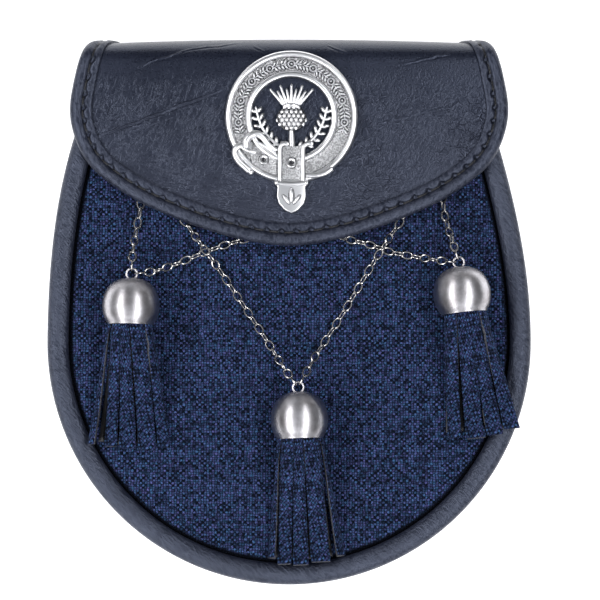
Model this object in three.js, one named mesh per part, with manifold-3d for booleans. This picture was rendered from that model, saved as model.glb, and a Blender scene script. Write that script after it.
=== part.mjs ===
// A sporran: a hollow leather pouch with a woven front panel, a folded flap with a bound edge,
// a cast pewter badge, and three fringed tassels hung from chains. It lies on its back.
// Millimetres, +Z up: the front faces up, +X is to its right and +Y to the flap's fold.

import * as THREE from 'three';
import { mergeVertices } from 'three/addons/utils/BufferGeometryUtils.js';
import Module from 'manifold-3d';

const wasm = await Module();
wasm.setup();

// Driving dimensions of the pouch
const BOTTOM_RADIUS = 90.4;      // round lower half of the outline
const SIDE_RADIUS = 270;         // long arcs of the two sides
const WIDEST_Y = -11.5;          // height at which the two meet
const MOUTH_Y = 88;              // top of the front panel, gusset and welt
const BOTTOM_Y = WIDEST_Y - BOTTOM_RADIUS;
const DEPTH_BOTTOM = 34;         // back to front face, at the bottom
const DEPTH_MOUTH = 21;          // and at the mouth
const GAP = 0.3;                 // clearance between pieces that rest on each other

const WALL = 1.8;                // gusset and keeper leather
const FLANGE = { width: 8, thickness: 2.4 };
const BACK = { inset: 3.9, thickness: 1.8, top: 90 };
const WELT = { centre: 5.6, halfWidth: 3, halfHeight: 2.9 };
const PANEL = { inset: 9, thickness: 2.4, crown: 1.6 };
const KEEPER = { halfWidth: 46, low: 8, high: 42, corner: 5 };

// The flap: leather folded over the top, and the strip that binds its edge
const FLAP = { thickness: 1.5, foldY: 91.65, foldRise: 8.5, crown: 3, crownFrom: 17, overWelt: 5.3 };
const FLAP_BACK = { halfWidth: 62, cornerY: 88.65, endY: 52 };
const FOLD_POWER = 0.77;         // 1 would make the fold's section an ellipse; less is squarer
const BINDING = { width: 8.3, under: 6, leg: 0.8, side: 0.9, roll: 1.1 };
const SNAP = { y: 42, disc: 6, neck: 4, discHeight: 1.4 };

// The badge, tassels and chains
const BADGE = { x: 0.9, y: 72.6, outer: 25, inner: 15.1, thickness: 2.2, rim: 2, band: 1.4 };
const DOME = { radius: 10.7, height: 17.4 };
const FRINGE = { length: 46.5, plug: 6.5, ring: 5.8, thickness: 1.3, narrow: 4.2, wide: 6.4 };
const RING = { radius: 2, wire: 0.4, reach: 1.6 };
const LINK = { width: 3.1, wire: 0.32, sides: 5, pitch: 3.8, bite: 0.12, play: 0.2, lean: 28 };
const STAPLE = { halfWidth: 1.5, bar: 1.75, wire: 0.4, bend: 0.55 };
const STRAND_TUBE = { radius: 1.4, sides: 8, steps: 16 };   // stands for a strand's fine links
const LIE = GAP + LINK.width / 2 + 0.05;    // a strand's middle above the panel
const CLIMB = 20;                           // the stretch over which it rises to its ring
const CROSSING = { lift: LINK.width + GAP, reach: 5.8 };

const MATERIALS = {
  leather: new THREE.MeshStandardMaterial({ color: 0x25262d, roughness: 0.55 }),
  grained: new THREE.MeshStandardMaterial({ color: 0x22232a, roughness: 0.45 }),
  tweed: new THREE.MeshStandardMaterial({ color: 0x1c2f5e, roughness: 0.95 }),
  pewter: new THREE.MeshStandardMaterial({ color: 0x9a9a9d, roughness: 0.45, metalness: 1 }),
  brushed: new THREE.MeshStandardMaterial({ color: 0xb9babd, roughness: 0.35, metalness: 1 }),
  steel: new THREE.MeshStandardMaterial({ color: 0xa8a49e, roughness: 0.3, metalness: 1 }),
};

// Closed surfaces from vertices and triangles
const v3 = (x, y, z) => new THREE.Vector3(x, y, z);
const lerp = THREE.MathUtils.lerp;
const smooth = (t) => THREE.MathUtils.smoothstep(t, 0, 1);

function signedVolume(position, index) {
  const [a, b, c] = [v3(), v3(), v3()];
  let six = 0;
  for (let i = 0; i < index.length; i += 3) {
    a.fromBufferAttribute(position, index[i]);
    b.fromBufferAttribute(position, index[i + 1]);
    c.fromBufferAttribute(position, index[i + 2]);
    six += a.dot(b.cross(c));
  }
  return six;
}

// Merges shared vertices, drops collapsed triangles and turns the faces outwards.
function closed(geometry) {
  const bare = new THREE.BufferGeometry().setAttribute('position', geometry.getAttribute('position'));
  if (geometry.index) bare.setIndex(geometry.index);
  const merged = mergeVertices(bare, 1e-4);
  const from = merged.index.array;
  const kept = [];
  for (let i = 0; i < from.length; i += 3) {
    const [a, b, c] = [from[i], from[i + 1], from[i + 2]];
    if (a !== b && b !== c && c !== a) kept.push(a, b, c);
  }
  if (signedVolume(merged.getAttribute('position'), kept) < 0) kept.reverse();
  merged.setIndex(kept);
  return merged;
}

function fromTriangles(points, triangles) {
  const geometry = new THREE.BufferGeometry().setFromPoints(points);
  geometry.setIndex(triangles);
  return closed(geometry);
}

// A skin through rings of points. An open run is capped with the section's own outline.
function loft(rings, section) {
  const count = rings[0].length;
  const spans = section ? rings.length - 1 : rings.length;
  const triangles = [];
  for (let i = 0; i < spans; i++) {
    const next = (i + 1) % rings.length;
    for (let j = 0; j < count; j++) {
      const k = (j + 1) % count;
      const [a, b] = [i * count + j, i * count + k];
      const [c, d] = [next * count + j, next * count + k];
      triangles.push(a, b, d, a, d, c);
    }
  }
  if (section) {
    const last = (rings.length - 1) * count;
    const [near, far] = THREE.ShapeUtils.isClockWise(section) ? [last, 0] : [0, last];
    for (const [a, b, c] of THREE.ShapeUtils.triangulateShape(section, [])) {
      triangles.push(near + c, near + b, near + a, far + a, far + b, far + c);
    }
  }
  return fromTriangles(rings.flat(), triangles);
}

// A sheet of leather or cloth: place(row, column, side) gives its two faces, side being 0 or 1.
function sheet(rows, columns, place) {
  const points = [];
  const at = (i, j, side) => (side * rows + i) * columns + j;
  for (const side of [0, 1]) {
    for (let i = 0; i < rows; i++) {
      for (let j = 0; j < columns; j++) points.push(place(i, j, side));
    }
  }
  const triangles = [];
  const quad = (a, b, c, d) => triangles.push(a, b, c, a, c, d);
  for (let i = 0; i < rows - 1; i++) {
    for (let j = 0; j < columns - 1; j++) {
      quad(at(i, j, 0), at(i, j + 1, 0), at(i + 1, j + 1, 0), at(i + 1, j, 0));
      quad(at(i, j, 1), at(i + 1, j, 1), at(i + 1, j + 1, 1), at(i, j + 1, 1));
    }
    const last = columns - 1;
    quad(at(i, 0, 0), at(i + 1, 0, 0), at(i + 1, 0, 1), at(i, 0, 1));
    quad(at(i, last, 0), at(i, last, 1), at(i + 1, last, 1), at(i + 1, last, 0));
  }
  for (let j = 0; j < columns - 1; j++) {
    const end = rows - 1;
    quad(at(0, j, 0), at(0, j, 1), at(0, j + 1, 1), at(0, j + 1, 0));
    quad(at(end, j, 0), at(end, j + 1, 0), at(end, j + 1, 1), at(end, j, 1));
  }
  return fromTriangles(points, triangles);
}

function toSolid(geometry) {
  const ready = closed(geometry);
  return new wasm.Manifold(new wasm.Mesh({
    numProp: 3,
    vertProperties: ready.getAttribute('position').array,
    triVerts: new Uint32Array(ready.index.array),
  }));
}

function fuse(geometries) {
  const solid = geometries.map(toSolid).reduce((sum, next) => sum.add(next));
  const mesh = solid.getMesh();
  const geometry = new THREE.BufferGeometry();
  geometry.setAttribute('position', new THREE.BufferAttribute(mesh.vertProperties, mesh.numProp));
  geometry.setIndex(new THREE.BufferAttribute(mesh.triVerts, 1));
  return geometry;
}

function extruded(shape, from, to, curveSegments = 8) {
  const options = { depth: to - from, bevelEnabled: false, curveSegments };
  return new THREE.ExtrudeGeometry(shape, options).translate(0, 0, from);
}

const part = new THREE.Group();

function add(name, geometry, material, parent = part) {
  const mesh = new THREE.Mesh(geometry, MATERIALS[material]);
  mesh.name = name;
  parent.add(mesh);
  return mesh;
}

// The pouch's outline: half its width at a height, set in from the edge by a distance
function halfWidth(y, inset = 0) {
  const rise = y - WIDEST_Y;
  if (rise < 0) return Math.sqrt(Math.max(0, (BOTTOM_RADIUS - inset) ** 2 - rise ** 2));
  return BOTTOM_RADIUS - SIDE_RADIUS + Math.sqrt((SIDE_RADIUS - inset) ** 2 - rise ** 2);
}

function insetOf(x, y) {
  const rise = y - WIDEST_Y;
  if (rise < 0) return BOTTOM_RADIUS - Math.hypot(x, rise);
  return SIDE_RADIUS - Math.hypot(Math.abs(x) - BOTTOM_RADIUS + SIDE_RADIUS, rise);
}

// Stations from the upper left corner round the bottom to the upper right one.
function outlineStations(inset, top, sideSteps = 6, roundSteps = 20) {
  const side = [];
  for (let i = 0; i < sideSteps; i++) {
    const y = lerp(top, WIDEST_Y, i / sideSteps);
    side.push(new THREE.Vector2(halfWidth(y, inset), y));
  }
  const round = [];
  for (let i = 0; i <= roundSteps; i++) {
    const angle = Math.PI * (1 + i / roundSteps);
    const radius = BOTTOM_RADIUS - inset;
    round.push(new THREE.Vector2(radius * Math.cos(angle), WIDEST_Y + radius * Math.sin(angle)));
  }
  const left = side.map((p) => new THREE.Vector2(-p.x, p.y));
  return [...left, ...round, ...side.reverse()];
}

// Height of the front face: the pouch is deeper at the bottom than at the mouth.
const TILT = (DEPTH_BOTTOM - DEPTH_MOUTH) / (MOUTH_Y - BOTTOM_Y);
const frontZ = (y) => DEPTH_BOTTOM - TILT * (y - BOTTOM_Y);

function panelTop(x, y) {
  const swell = (halfWidth(y, PANEL.inset) ** 2 - x ** 2) / (BOTTOM_RADIUS - PANEL.inset) ** 2;
  return frontZ(y) + PANEL.crown * Math.max(0, swell);
}

// What a fringe lies on: the panel, and within a strip's width of the edge the welt.
function restingZ(x, y) {
  const clearOfWelt = smooth((insetOf(x, y) - PANEL.inset + 1) / FRINGE.narrow);
  return lerp(frontZ(y) + WELT.halfHeight + GAP, panelTop(x, y), clearOfWelt);
}

// A closed section, in inset and height, carried along the outline
function carried(section, heightAt) {
  const edges = section.map(([inset]) => outlineStations(inset, MOUTH_Y));
  return edges[0].map((_, station) => section.map(([, height], j) => {
    const p = edges[j][station];
    return v3(p.x, p.y, heightAt(height, p.y));
  }));
}

function makeGusset() {
  const topOf = (y) => frontZ(y) - WELT.halfHeight + GAP;
  const outer = [[2, 0], [0.6, 0.25], [0, 0.5], [0.6, 0.78], [2.4, 1]];
  const inner = [[4.2, 1], [WALL + 0.6, 0.75], [WALL, 0.5]];
  const foot = [[2 + WALL * 0.6, 'flange'], [FLANGE.width, 'flange'], [FLANGE.width, 0]];
  const section = [...outer, ...inner, ...foot];
  const heightAt = (height, y) => (height === 'flange' ? FLANGE.thickness : height * topOf(y));
  const flat = section.map(([inset, height]) => new THREE.Vector2(inset, heightAt(height, 0)));
  add('gusset', loft(carried(section, heightAt), flat), 'leather');
}

function makeBackPanel() {
  const shape = new THREE.Shape(outlineStations(BACK.inset, BACK.top));
  const low = FLANGE.thickness + GAP;
  add('back_panel', extruded(shape, low, low + BACK.thickness), 'leather');
}

// The rolled leather that frames the front panel
function makeWelt() {
  const section = [];
  for (let i = 0; i < 8; i++) {
    const angle = (i + 0.5) * Math.PI / 4;
    section.push([
      WELT.centre + WELT.halfWidth * Math.cos(angle),
      WELT.halfHeight * Math.sin(angle),
    ]);
  }
  const flat = section.map(([inset, height]) => new THREE.Vector2(inset, height));
  add('front_welt', loft(carried(section, (height, y) => frontZ(y) + height), flat), 'leather');
}

function makeFrontPanel() {
  const edge = outlineStations(PANEL.inset, MOUTH_Y);
  const rows = (edge.length + 1) / 2;
  const columns = 5;
  const place = (i, j, side) => {
    const { x: left, y } = edge[i];
    const x = -left * (2 * j / (columns - 1) - 1);
    return v3(x, y, panelTop(x, y) - side * PANEL.thickness);
  };
  add('front_panel', sheet(rows, columns, place), 'tweed');
}

// The flap is cut flat and bent: x runs across it, and s along it from the top of the fold,
// forwards down the front and backwards down the back.
const flapBackZ = FLANGE.thickness - FLAP.thickness / 2;
const foldFrontZ = frontZ(FLAP.foldY) + FLAP.overWelt;
const foldHalf = (foldFrontZ - flapBackZ) / 2;
const fold = new THREE.SplineCurve(Array.from({ length: 25 }, (_, i) => {
  const angle = lerp(-Math.PI / 2, Math.PI / 2, i / 24);
  const rise = Math.abs(Math.cos(angle)) ** FOLD_POWER;
  const swing = Math.sign(angle) * Math.abs(Math.sin(angle)) ** FOLD_POWER;
  return new THREE.Vector2(FLAP.foldY + FLAP.foldRise * rise, flapBackZ + foldHalf * (1 + swing));
}));
const foldQuarter = fold.getLength() / 2;

// Half of the flap's cut outline, from the back of the fold to the tip
const FLAP_EDGE = [
  { x: 69.5, s: -14 }, { x: 74.2, s: 0 }, { x: 78, s: 10.8 }, { x: 80.6, s: 20 }, { x: 82.5, s: 32 },
  { x: 81.2, s: 41.6 }, { x: 77, s: 51.2 }, { x: 69.5, s: 59.2 }, { x: 56, s: 68 },
  { x: 37, s: 76.2 }, { x: 18, s: 82 }, { x: 0, s: 84.4 },
];
const FLAP_HALF = Math.max(...FLAP_EDGE.map((p) => p.x));
const FLAP_STEPS = 19;

function bentPoint(x, s, rise) {
  let [y, z, out] = [0, 0, v3()];
  if (Math.abs(s) < foldQuarter) {
    const along = (s / foldQuarter + 1) / 2;
    ({ x: y, y: z } = fold.getPointAt(along));
    const tangent = fold.getTangentAt(along);
    out = v3(0, tangent.y, -tangent.x);
  } else if (s < 0) {
    y = FLAP.foldY + s + foldQuarter;
    z = flapBackZ;
    out = v3(0, 0, -1);
  } else {
    y = FLAP.foldY - (s - foldQuarter);
    z = frontZ(y) + FLAP.overWelt;
    out = v3(0, TILT, 1).normalize();
  }
  const crown = FLAP.crown * smooth(s / FLAP.crownFrom) * (1 - (x / FLAP_HALF) ** 2);
  return v3(x, y, z + crown).addScaledVector(out, rise);
}

// Points of the whole edge, from the right round to the left, and the unit direction inwards,
// which stays square to the fold where the leather bends.
function flapOutline() {
  const half = FLAP_EDGE.map((p) => new THREE.Vector2(p.x, p.s));
  const mirrored = half.slice(0, -1).map((p) => new THREE.Vector2(-p.x, p.y)).reverse();
  const curve = new THREE.SplineCurve([...half, ...mirrored]);
  const stations = [];
  for (let i = 0; i <= 2 * FLAP_STEPS; i++) {
    const t = i / (2 * FLAP_STEPS);
    const along = curve.getTangentAt(t);
    const at = curve.getPointAt(t);
    const bent = 1 - smooth((at.y - foldQuarter) / 10);
    const inward = new THREE.Vector2(-along.y, along.x);
    inward.lerp(new THREE.Vector2(-Math.sign(at.x), 0), bent).normalize();
    stations.push({ at, inward });
  }
  return stations;
}

function makeFlap() {
  const setIn = BINDING.side + GAP;
  const half = flapOutline().slice(0, FLAP_STEPS + 1)
    .map(({ at, inward }) => at.clone().addScaledVector(inward, setIn));
  const tongue = [FLAP_BACK.endY, FLAP_BACK.cornerY]
    .map((y) => new THREE.Vector2(FLAP_BACK.halfWidth, y - FLAP.foldY - foldQuarter));
  const cut = [...tongue, ...half];
  const columns = 5;
  const place = (i, j, side) => {
    const x = i === cut.length - 1 ? 0 : cut[i].x * (2 * j / (columns - 1) - 1);
    return bentPoint(x, cut[i].y, (0.5 - side) * FLAP.thickness);
  };
  add('flap', sheet(cut.length, columns, place), 'grained');
}

function makeBinding() {
  const inside = FLAP.thickness / 2 + GAP;
  const outside = inside + BINDING.leg;
  const section = [
    [0, -BINDING.leg], [0, BINDING.leg], [BINDING.roll, outside], [BINDING.width, outside - 0.1],
    [BINDING.width, inside], [BINDING.side, inside], [BINDING.side, -inside],
    [BINDING.under, -inside], [BINDING.under, -outside], [BINDING.roll, -outside],
  ].map(([inset, rise]) => new THREE.Vector2(inset, rise));
  const rings = flapOutline().map(({ at, inward }) => section.map((p) => {
    const cut = at.clone().addScaledVector(inward, p.x);
    return bentPoint(cut.x, cut.y, p.y);
  }));
  add('flap_binding', loft(rings, section), 'leather');
}

// On the back: a flat leather keeper that the belt or chain strap passes through
function makeKeeper() {
  const { halfWidth: halfX, low, high, corner } = KEEPER;
  const shape = new THREE.Shape();
  shape.moveTo(-halfX + corner, low);
  shape.lineTo(halfX - corner, low);
  shape.absarc(halfX - corner, low + corner, corner, -Math.PI / 2, 0);
  shape.absarc(halfX - corner, high - corner, corner, 0, Math.PI / 2);
  shape.absarc(-halfX + corner, high - corner, corner, Math.PI / 2, Math.PI);
  shape.absarc(-halfX + corner, low + corner, corner, Math.PI, 1.5 * Math.PI);
  add('strap_keeper', extruded(shape, FLANGE.thickness - WALL, FLANGE.thickness, 3), 'leather');
}

// The hidden press stud that holds the flap shut
function makeSnap() {
  const { y, disc, neck, discHeight } = SNAP;
  const low = panelTop(0, y) + GAP;
  const height = frontZ(y) + FLAP.overWelt + FLAP.crown - FLAP.thickness / 2 - 2 * GAP - low;
  const profile = [
    [0, 0], [disc, 0], [disc, discHeight / 2], [neck, discHeight], [neck, height - discHeight],
    [disc, height], [0, height],
  ].map(([r, h]) => new THREE.Vector2(r, h));
  const stud = new THREE.LatheGeometry(profile, 12).rotateX(Math.PI / 2 - Math.atan(TILT));
  add('snap', closed(stud.translate(0, y, low)), 'steel');
}

// Cast badge: a strap closed with a buckle, round a thistle. Flat at the back, z outwards.
function badgeRing() {
  const { outer, inner, thickness, rim, band } = BADGE;
  const profile = [
    [inner, 0], [outer, 0], [outer, thickness], [outer - rim, thickness], [outer - rim, band],
    [inner + rim, band], [inner + rim, thickness], [inner, thickness], [inner, 0],
  ].map(([r, h]) => new THREE.Vector2(r, h));
  return new THREE.LatheGeometry(profile, 32).rotateX(Math.PI / 2);
}

function outlined(points) {
  return new THREE.Shape(points.map(([x, y]) => new THREE.Vector2(x, y)));
}

function badgeTail() {
  const strap = outlined([
    [-5.2, -10.8], [-5.2, -24], [-6.3, -26], [-5.6, -33], [-2.5, -35.2], [0, -36.4],
    [2.5, -35.2], [5.6, -33], [6.3, -26], [5.2, -24], [5.2, -10.8],
  ]);
  return extruded(strap, 0, BADGE.thickness + 0.9);
}

function badgeBuckle() {
  const frame = new THREE.Shape().absellipse(0, 0, 8, 6.6, 0, 2 * Math.PI);
  frame.holes.push(new THREE.Path().absellipse(0, 0, 5.4, 4.2, 0, 2 * Math.PI));
  return extruded(frame, 0.4, BADGE.thickness + 1.1, 8).rotateZ(-0.75).translate(-14.6, -14.4, 0);
}

function badgeThistle() {
  const ball = new THREE.SphereGeometry(5.2, 12, 8).scale(1, 0.95, 0.42).translate(0, -1.2, 2.3);
  const tuft = outlined([
    [-3.4, 2], [-5.6, 9.6], [-3.4, 8.2], [-2.4, 11], [-1, 8.8], [0, 11.6],
    [1, 8.8], [2.4, 11], [3.4, 8.2], [5.6, 9.6], [3.4, 2],
  ]);
  const stalk = outlined([[-1, -13], [-1, -4], [1, -4], [1, -13]]);
  const leaf = [
    [0, -12], [5, -10.5], [7.4, -7], [9.4, -8], [10.8, -3.6], [14, -4], [15.9, 2], [12.4, 0.6],
    [10.6, 2.4], [8.6, -1.6], [6.2, -1.4], [4.6, -5.6], [0, -9.4],
  ];
  const mirrored = leaf.map(([x, y]) => [-x, y]);
  const flat = [tuft, stalk, outlined(leaf), outlined(mirrored)].map((s) => extruded(s, 0, 1.7));
  return [ball, ...flat];
}

function badgePellets() {
  const middle = (BADGE.outer + BADGE.inner) / 2;
  const pellets = [];
  for (let degrees = -18; degrees <= 198; degrees += 24) {
    const angle = THREE.MathUtils.degToRad(degrees);
    pellets.push(new THREE.CylinderGeometry(1, 1.4, 1, 6).rotateX(Math.PI / 2)
      .translate(middle * Math.cos(angle), middle * Math.sin(angle), BADGE.band + 0.4));
  }
  return pellets;
}

function makeBadge() {
  const pieces = [badgeRing(), badgeTail(), badgeBuckle(), ...badgeThistle(), ...badgePellets()];
  const badge = add('badge', fuse(pieces), 'pewter');
  const onFlap = frontZ(BADGE.y) + FLAP.overWelt + FLAP.crown + FLAP.thickness / 2 + GAP;
  badge.position.set(BADGE.x, BADGE.y, onFlap);
  badge.rotation.x = -Math.atan(TILT);
}

// Three tassels: the middle of each dome, and how far the fringe swings to the right
const TASSELS = [
  { side: 'left', x: -58.9, y: 3.6, swing: -1.5 },
  { side: 'centre', x: 3.8, y: -38.7, swing: 2 },
  { side: 'right', x: 64.4, y: 7.9, swing: 6 },
];

function tasselGroup({ x, y, swing }) {
  const group = new THREE.Group();
  group.position.set(x, y, panelTop(x, y) + GAP + DOME.radius + 0.1);
  group.rotation.set(-Math.atan(TILT), 0, THREE.MathUtils.degToRad(swing), 'XYZ');
  group.updateMatrixWorld(true);
  part.add(group);
  return group;
}

// Along the dome's axis, from the middle of its height: the lip is below and the apex above.
const DOME_HALF = DOME.height / 2;
const ringCentre = DOME_HALF + RING.reach;

function makeDome(row, group) {
  const outer = [[0, 17.4], [4.4, 16.9], [8.2, 14.4], [10.3, 10.6], [10.7, 7], [10, 2.8], [8.5, 0]];
  const inner = [[7.3, 0], [8.9, 3.2], [9.5, 7], [9, 10.2], [6.6, 13.8], [0, 16.2]];
  const profile = [...outer, ...inner].map(([r, h]) => new THREE.Vector2(r, h - DOME_HALF));
  const shell = new THREE.LatheGeometry(profile.reverse(), 14);
  const across = 2 * (RING.radius + RING.wire);
  const ring = loft(loopRings(across, across, RING.wire, 12)).translate(0, ringCentre, 0);
  add(`dome_${row.side}`, fuse([shell, ring]), 'brushed', group);
}

// The strips of a fringe: where each leaves the plug, in degrees round the axis, how far out
// its end lies, its lift above what the fringe rests on, and how far it is turned on edge.
const STRIPS = [
  { leaves: 172, out: -13.4, lift: 0, turned: 58 },
  { leaves: 130, out: -7.6, lift: 2.2, turned: 8 },
  { leaves: 96, out: -0.9, lift: 2.9, turned: -6 },
  { leaves: 58, out: 5.8, lift: 2.3, turned: 6 },
  { leaves: 8, out: 12.4, lift: 0, turned: -54 },
  { leaves: -55, out: 4.6, lift: 0, turned: 0 },
  { leaves: -125, out: -4.6, lift: 0, turned: 0 },
];

function stripGeometry(strip, group) {
  const start = THREE.MathUtils.degToRad(strip.leaves);
  const floorAt = (x, y) => {
    const below = group.localToWorld(v3(x, y, 0));
    return group.worldToLocal(below.setZ(restingZ(below.x, below.y))).z;
  };
  const rings = [0, 0.12, 0.35, 0.65, 1].map((t) => {
    const x = lerp(FRINGE.ring * Math.cos(start), strip.out, t ** 0.85);
    const y = 2 - DOME_HALF - t * (FRINGE.length + 2);
    const half = lerp(FRINGE.narrow, FRINGE.wide, t) / 2;
    const spread = smooth(t * 1.1);
    const turned = THREE.MathUtils.degToRad(strip.turned);
    const roll = lerp(start - Math.PI / 2, turned, spread);
    const across = v3(Math.cos(roll), 0, Math.sin(roll)).multiplyScalar(half);
    const up = v3(-Math.sin(roll), 0, Math.cos(roll)).multiplyScalar(FRINGE.thickness / 2);
    const floor = Math.max(...[-1, 0, 1].map((side) => floorAt(x + side * (half + 1), y)));
    const lying = floor + GAP + strip.lift + Math.abs(across.z) + Math.abs(up.z);
    const centre = v3(x, y, lerp(FRINGE.ring * Math.sin(start), lying, spread));
    return [[-1, -1], [1, -1], [1, 1], [-1, 1]]
      .map(([a, b]) => centre.clone().addScaledVector(across, a).addScaledVector(up, b));
  });
  const flat = [[-1, -1], [1, -1], [1, 1], [-1, 1]].map(([a, b]) => new THREE.Vector2(a, b));
  return loft(rings, flat);
}

function makeFringe(row, group) {
  const plug = new THREE.CylinderGeometry(FRINGE.plug, FRINGE.plug, 9, 12);
  plug.translate(0, 5.2 - DOME_HALF, 0);
  const pieces = [plug, ...STRIPS.map((strip) => stripGeometry(strip, group))];
  add(`tassel_${row.side}`, fuse(pieces), 'tweed', group);
}

// One oval of round wire in the plane of x and y: rings of its skin, for loft
function loopRings(length, width, wire, stations = 10, sides = 5) {
  const rings = [];
  for (let i = 0; i < stations; i++) {
    const angle = 2 * Math.PI * i / stations;
    const [a, b] = [length / 2 - wire, width / 2 - wire];
    const centre = v3(b * Math.sin(angle), a * Math.cos(angle), 0);
    const out = v3(Math.sin(angle) * a, Math.cos(angle) * b, 0).normalize();
    rings.push(Array.from({ length: sides }, (_, k) => {
      const turn = 2 * Math.PI * k / sides;
      return centre.clone().addScaledVector(out, wire * Math.cos(turn))
        .add(v3(0, 0, wire * Math.sin(turn)));
    }));
  }
  return rings;
}

// The strands: each leaves a staple under the flap, passes the points of its route, and hooks
// the ring on a dome. Those that cross on top of another are raised there.
const STRANDS = [
  { name: 'chain_left_short', dome: 'left', linked: true,
    route: [[-55.7, 45.5], [-56, 38], [-57.4, 30.8], [-58.4, 22]] },
  { name: 'chain_left_long', dome: 'left',
    route: [[-4.4, 31], [-18.6, 26.4], [-25.9, 24.2], [-33.5, 21.3], [-42, 17.8], [-50.5, 14.9]] },
  { name: 'chain_left_cross', dome: 'centre', over: [-30.9, 22.7],
    route: [[-46.4, 43.6], [-37.7, 31.4], [-25.7, 14.7], [-12, -5.6], [-2.4, -20.4]] },
  { name: 'chain_right_cross', dome: 'centre', over: [34.6, 23.4],
    route: [[48.9, 43.6], [42.4, 34.3], [35.6, 24.4], [28.8, 13.4], [19.9, -1.4], [9.2, -18]] },
  { name: 'chain_right_long', dome: 'right',
    route: [[4.6, 31], [22.5, 26.8], [31.8, 24.4], [38.7, 22], [49.4, 20], [57, 18.8]] },
  { name: 'chain_right_short', dome: 'right', linked: true,
    route: [[57.6, 47.4], [58, 39.5], [59.1, 33.4], [60.9, 26.6]] },
];

function strandCurve(strand, groups) {
  const ring = groups[strand.dome].localToWorld(v3(0, ringCentre, 0));
  const flat = [...strand.route.map(([x, y]) => v3(x, y, 0)), v3(ring.x, ring.y, 0)];
  const plan = new THREE.CatmullRomCurve3(flat, false, 'centripetal');
  const total = plan.getLength();
  const points = [];
  for (let i = 0; i <= 40; i++) {
    const p = plan.getPointAt(i / 40);
    const lying = panelTop(p.x, p.y) + LIE;
    const rise = smooth(1 - (total * (1 - i / 40)) / CLIMB);
    p.z = lerp(lying, ring.z, rise);
    if (strand.over) {
      const away = Math.hypot(p.x - strand.over[0], p.y - strand.over[1]);
      p.z += CROSSING.lift * Math.exp(-((away / CROSSING.reach) ** 4));
    }
    points.push(p);
  }
  return new THREE.CatmullRomCurve3(points, false, 'centripetal');
}

// A frame on the strand: y along it, x across and z up
function frameAt(position, along) {
  const across = v3().crossVectors(along, v3(0, 0, 1)).normalize();
  const up = v3().crossVectors(across, along).normalize();
  return new THREE.Matrix4().makeBasis(across, along, up).setPosition(position);
}

function linkedStrand(curve) {
  const length = curve.getLength();
  const hooked = (wire) => wire + LINK.wire + LINK.play;
  const inside = 2 * LINK.wire * (1 + Math.cos(Math.PI / LINK.sides)) - LINK.bite;
  const spare = hooked(STAPLE.wire) + hooked(RING.wire) + 2 * LINK.wire - inside;
  const span = length - RING.radius + spare;
  const steps = 2 * Math.round((span / LINK.pitch - 1) / 2);
  const pitch = span / (steps + 1);
  const outer = pitch + inside;
  const first = outer / 2 - LINK.wire - hooked(STAPLE.wire);
  const at = (i) => curve.getPointAt((first + i * pitch) / length);
  const links = [];
  for (let i = 0; i <= steps; i++) {
    const along = at(Math.min(i + 0.5, steps)).sub(at(Math.max(i - 0.5, 0))).normalize();
    const lean = LINK.lean * Math.sin(Math.PI * i / steps) ** 0.5;
    const roll = THREE.MathUtils.degToRad((i % 2 ? 0 : 90) - lean);
    const loop = loopRings(outer, LINK.width, LINK.wire, 10, LINK.sides);
    links.push(loft(loop).rotateY(roll).applyMatrix4(frameAt(at(i), along)));
  }
  return fuse(links);
}

function plainStrand(curve) {
  const length = curve.getLength();
  const from = (STAPLE.wire + GAP + 0.1) / length;
  const to = 1 - (RING.radius + RING.wire + GAP + 0.6) / length;
  const { radius, sides, steps } = STRAND_TUBE;
  const points = [];
  for (let i = 0; i <= steps; i++) points.push(curve.getPointAt(lerp(from, to, i / steps)));
  const path = new THREE.CatmullRomCurve3(points, false, 'centripetal');
  const section = Array.from({ length: sides }, (_, k) => new THREE.Vector2(
    radius * Math.cos(2 * Math.PI * k / sides), radius * Math.sin(2 * Math.PI * k / sides)));
  const options = { steps, extrudePath: path, bevelEnabled: false };
  return closed(new THREE.ExtrudeGeometry(new THREE.Shape(section), options));
}

// A low wire staple in the panel that the strand's first link hooks
function stapleGeometry(curve) {
  const base = curve.getPointAt(0);
  const along = curve.getPointAt(0.04).sub(base).setZ(0).normalize();
  const { halfWidth: half, bar, wire, bend: round } = STAPLE;
  const foot = GAP + 0.1 - LIE;
  const top = bar + GAP - LIE;
  const bend = [
    [-half, foot], [-half, top - round], [round - half, top],
    [half - round, top], [half, top - round], [half, foot],
  ];
  const outward = [[-1, 0], [-1, 0.4], [-0.4, 1], [0.4, 1], [1, 0.4], [1, 0]];
  const rings = bend.map(([x, z], i) => {
    const out = v3(outward[i][0], 0, outward[i][1]).normalize();
    return Array.from({ length: 5 }, (_, k) => {
      const turn = 2 * Math.PI * k / 5;
      return v3(x, 0, z).addScaledVector(out, wire * Math.cos(turn)).add(v3(0, wire * Math.sin(turn), 0));
    });
  });
  const flat = Array.from({ length: 5 }, (_, k) => new THREE.Vector2(
    Math.cos(2 * Math.PI * k / 5), Math.sin(2 * Math.PI * k / 5)));
  return loft(rings, flat).applyMatrix4(frameAt(base, along));
}

makeGusset();
makeBackPanel();
makeWelt();
makeFrontPanel();
makeFlap();
makeBinding();
makeKeeper();
makeSnap();
makeBadge();

const groups = {};
for (const row of TASSELS) {
  groups[row.side] = tasselGroup(row);
  makeDome(row, groups[row.side]);
  makeFringe(row, groups[row.side]);
}
for (const strand of STRANDS) {
  const curve = strandCurve(strand, groups);
  add(strand.name, strand.linked ? linkedStrand(curve) : plainStrand(curve), 'steel');
  add(strand.name.replace('chain', 'staple'), stapleGeometry(curve), 'steel');
}

export default part;
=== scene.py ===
# A kilt pouch of black leather with a blue tweed front, a cast badge and three tassels on
# chains. It lies on its back with the front face up. Sizes are in millimetres until a mesh is
# finished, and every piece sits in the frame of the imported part.

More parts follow.
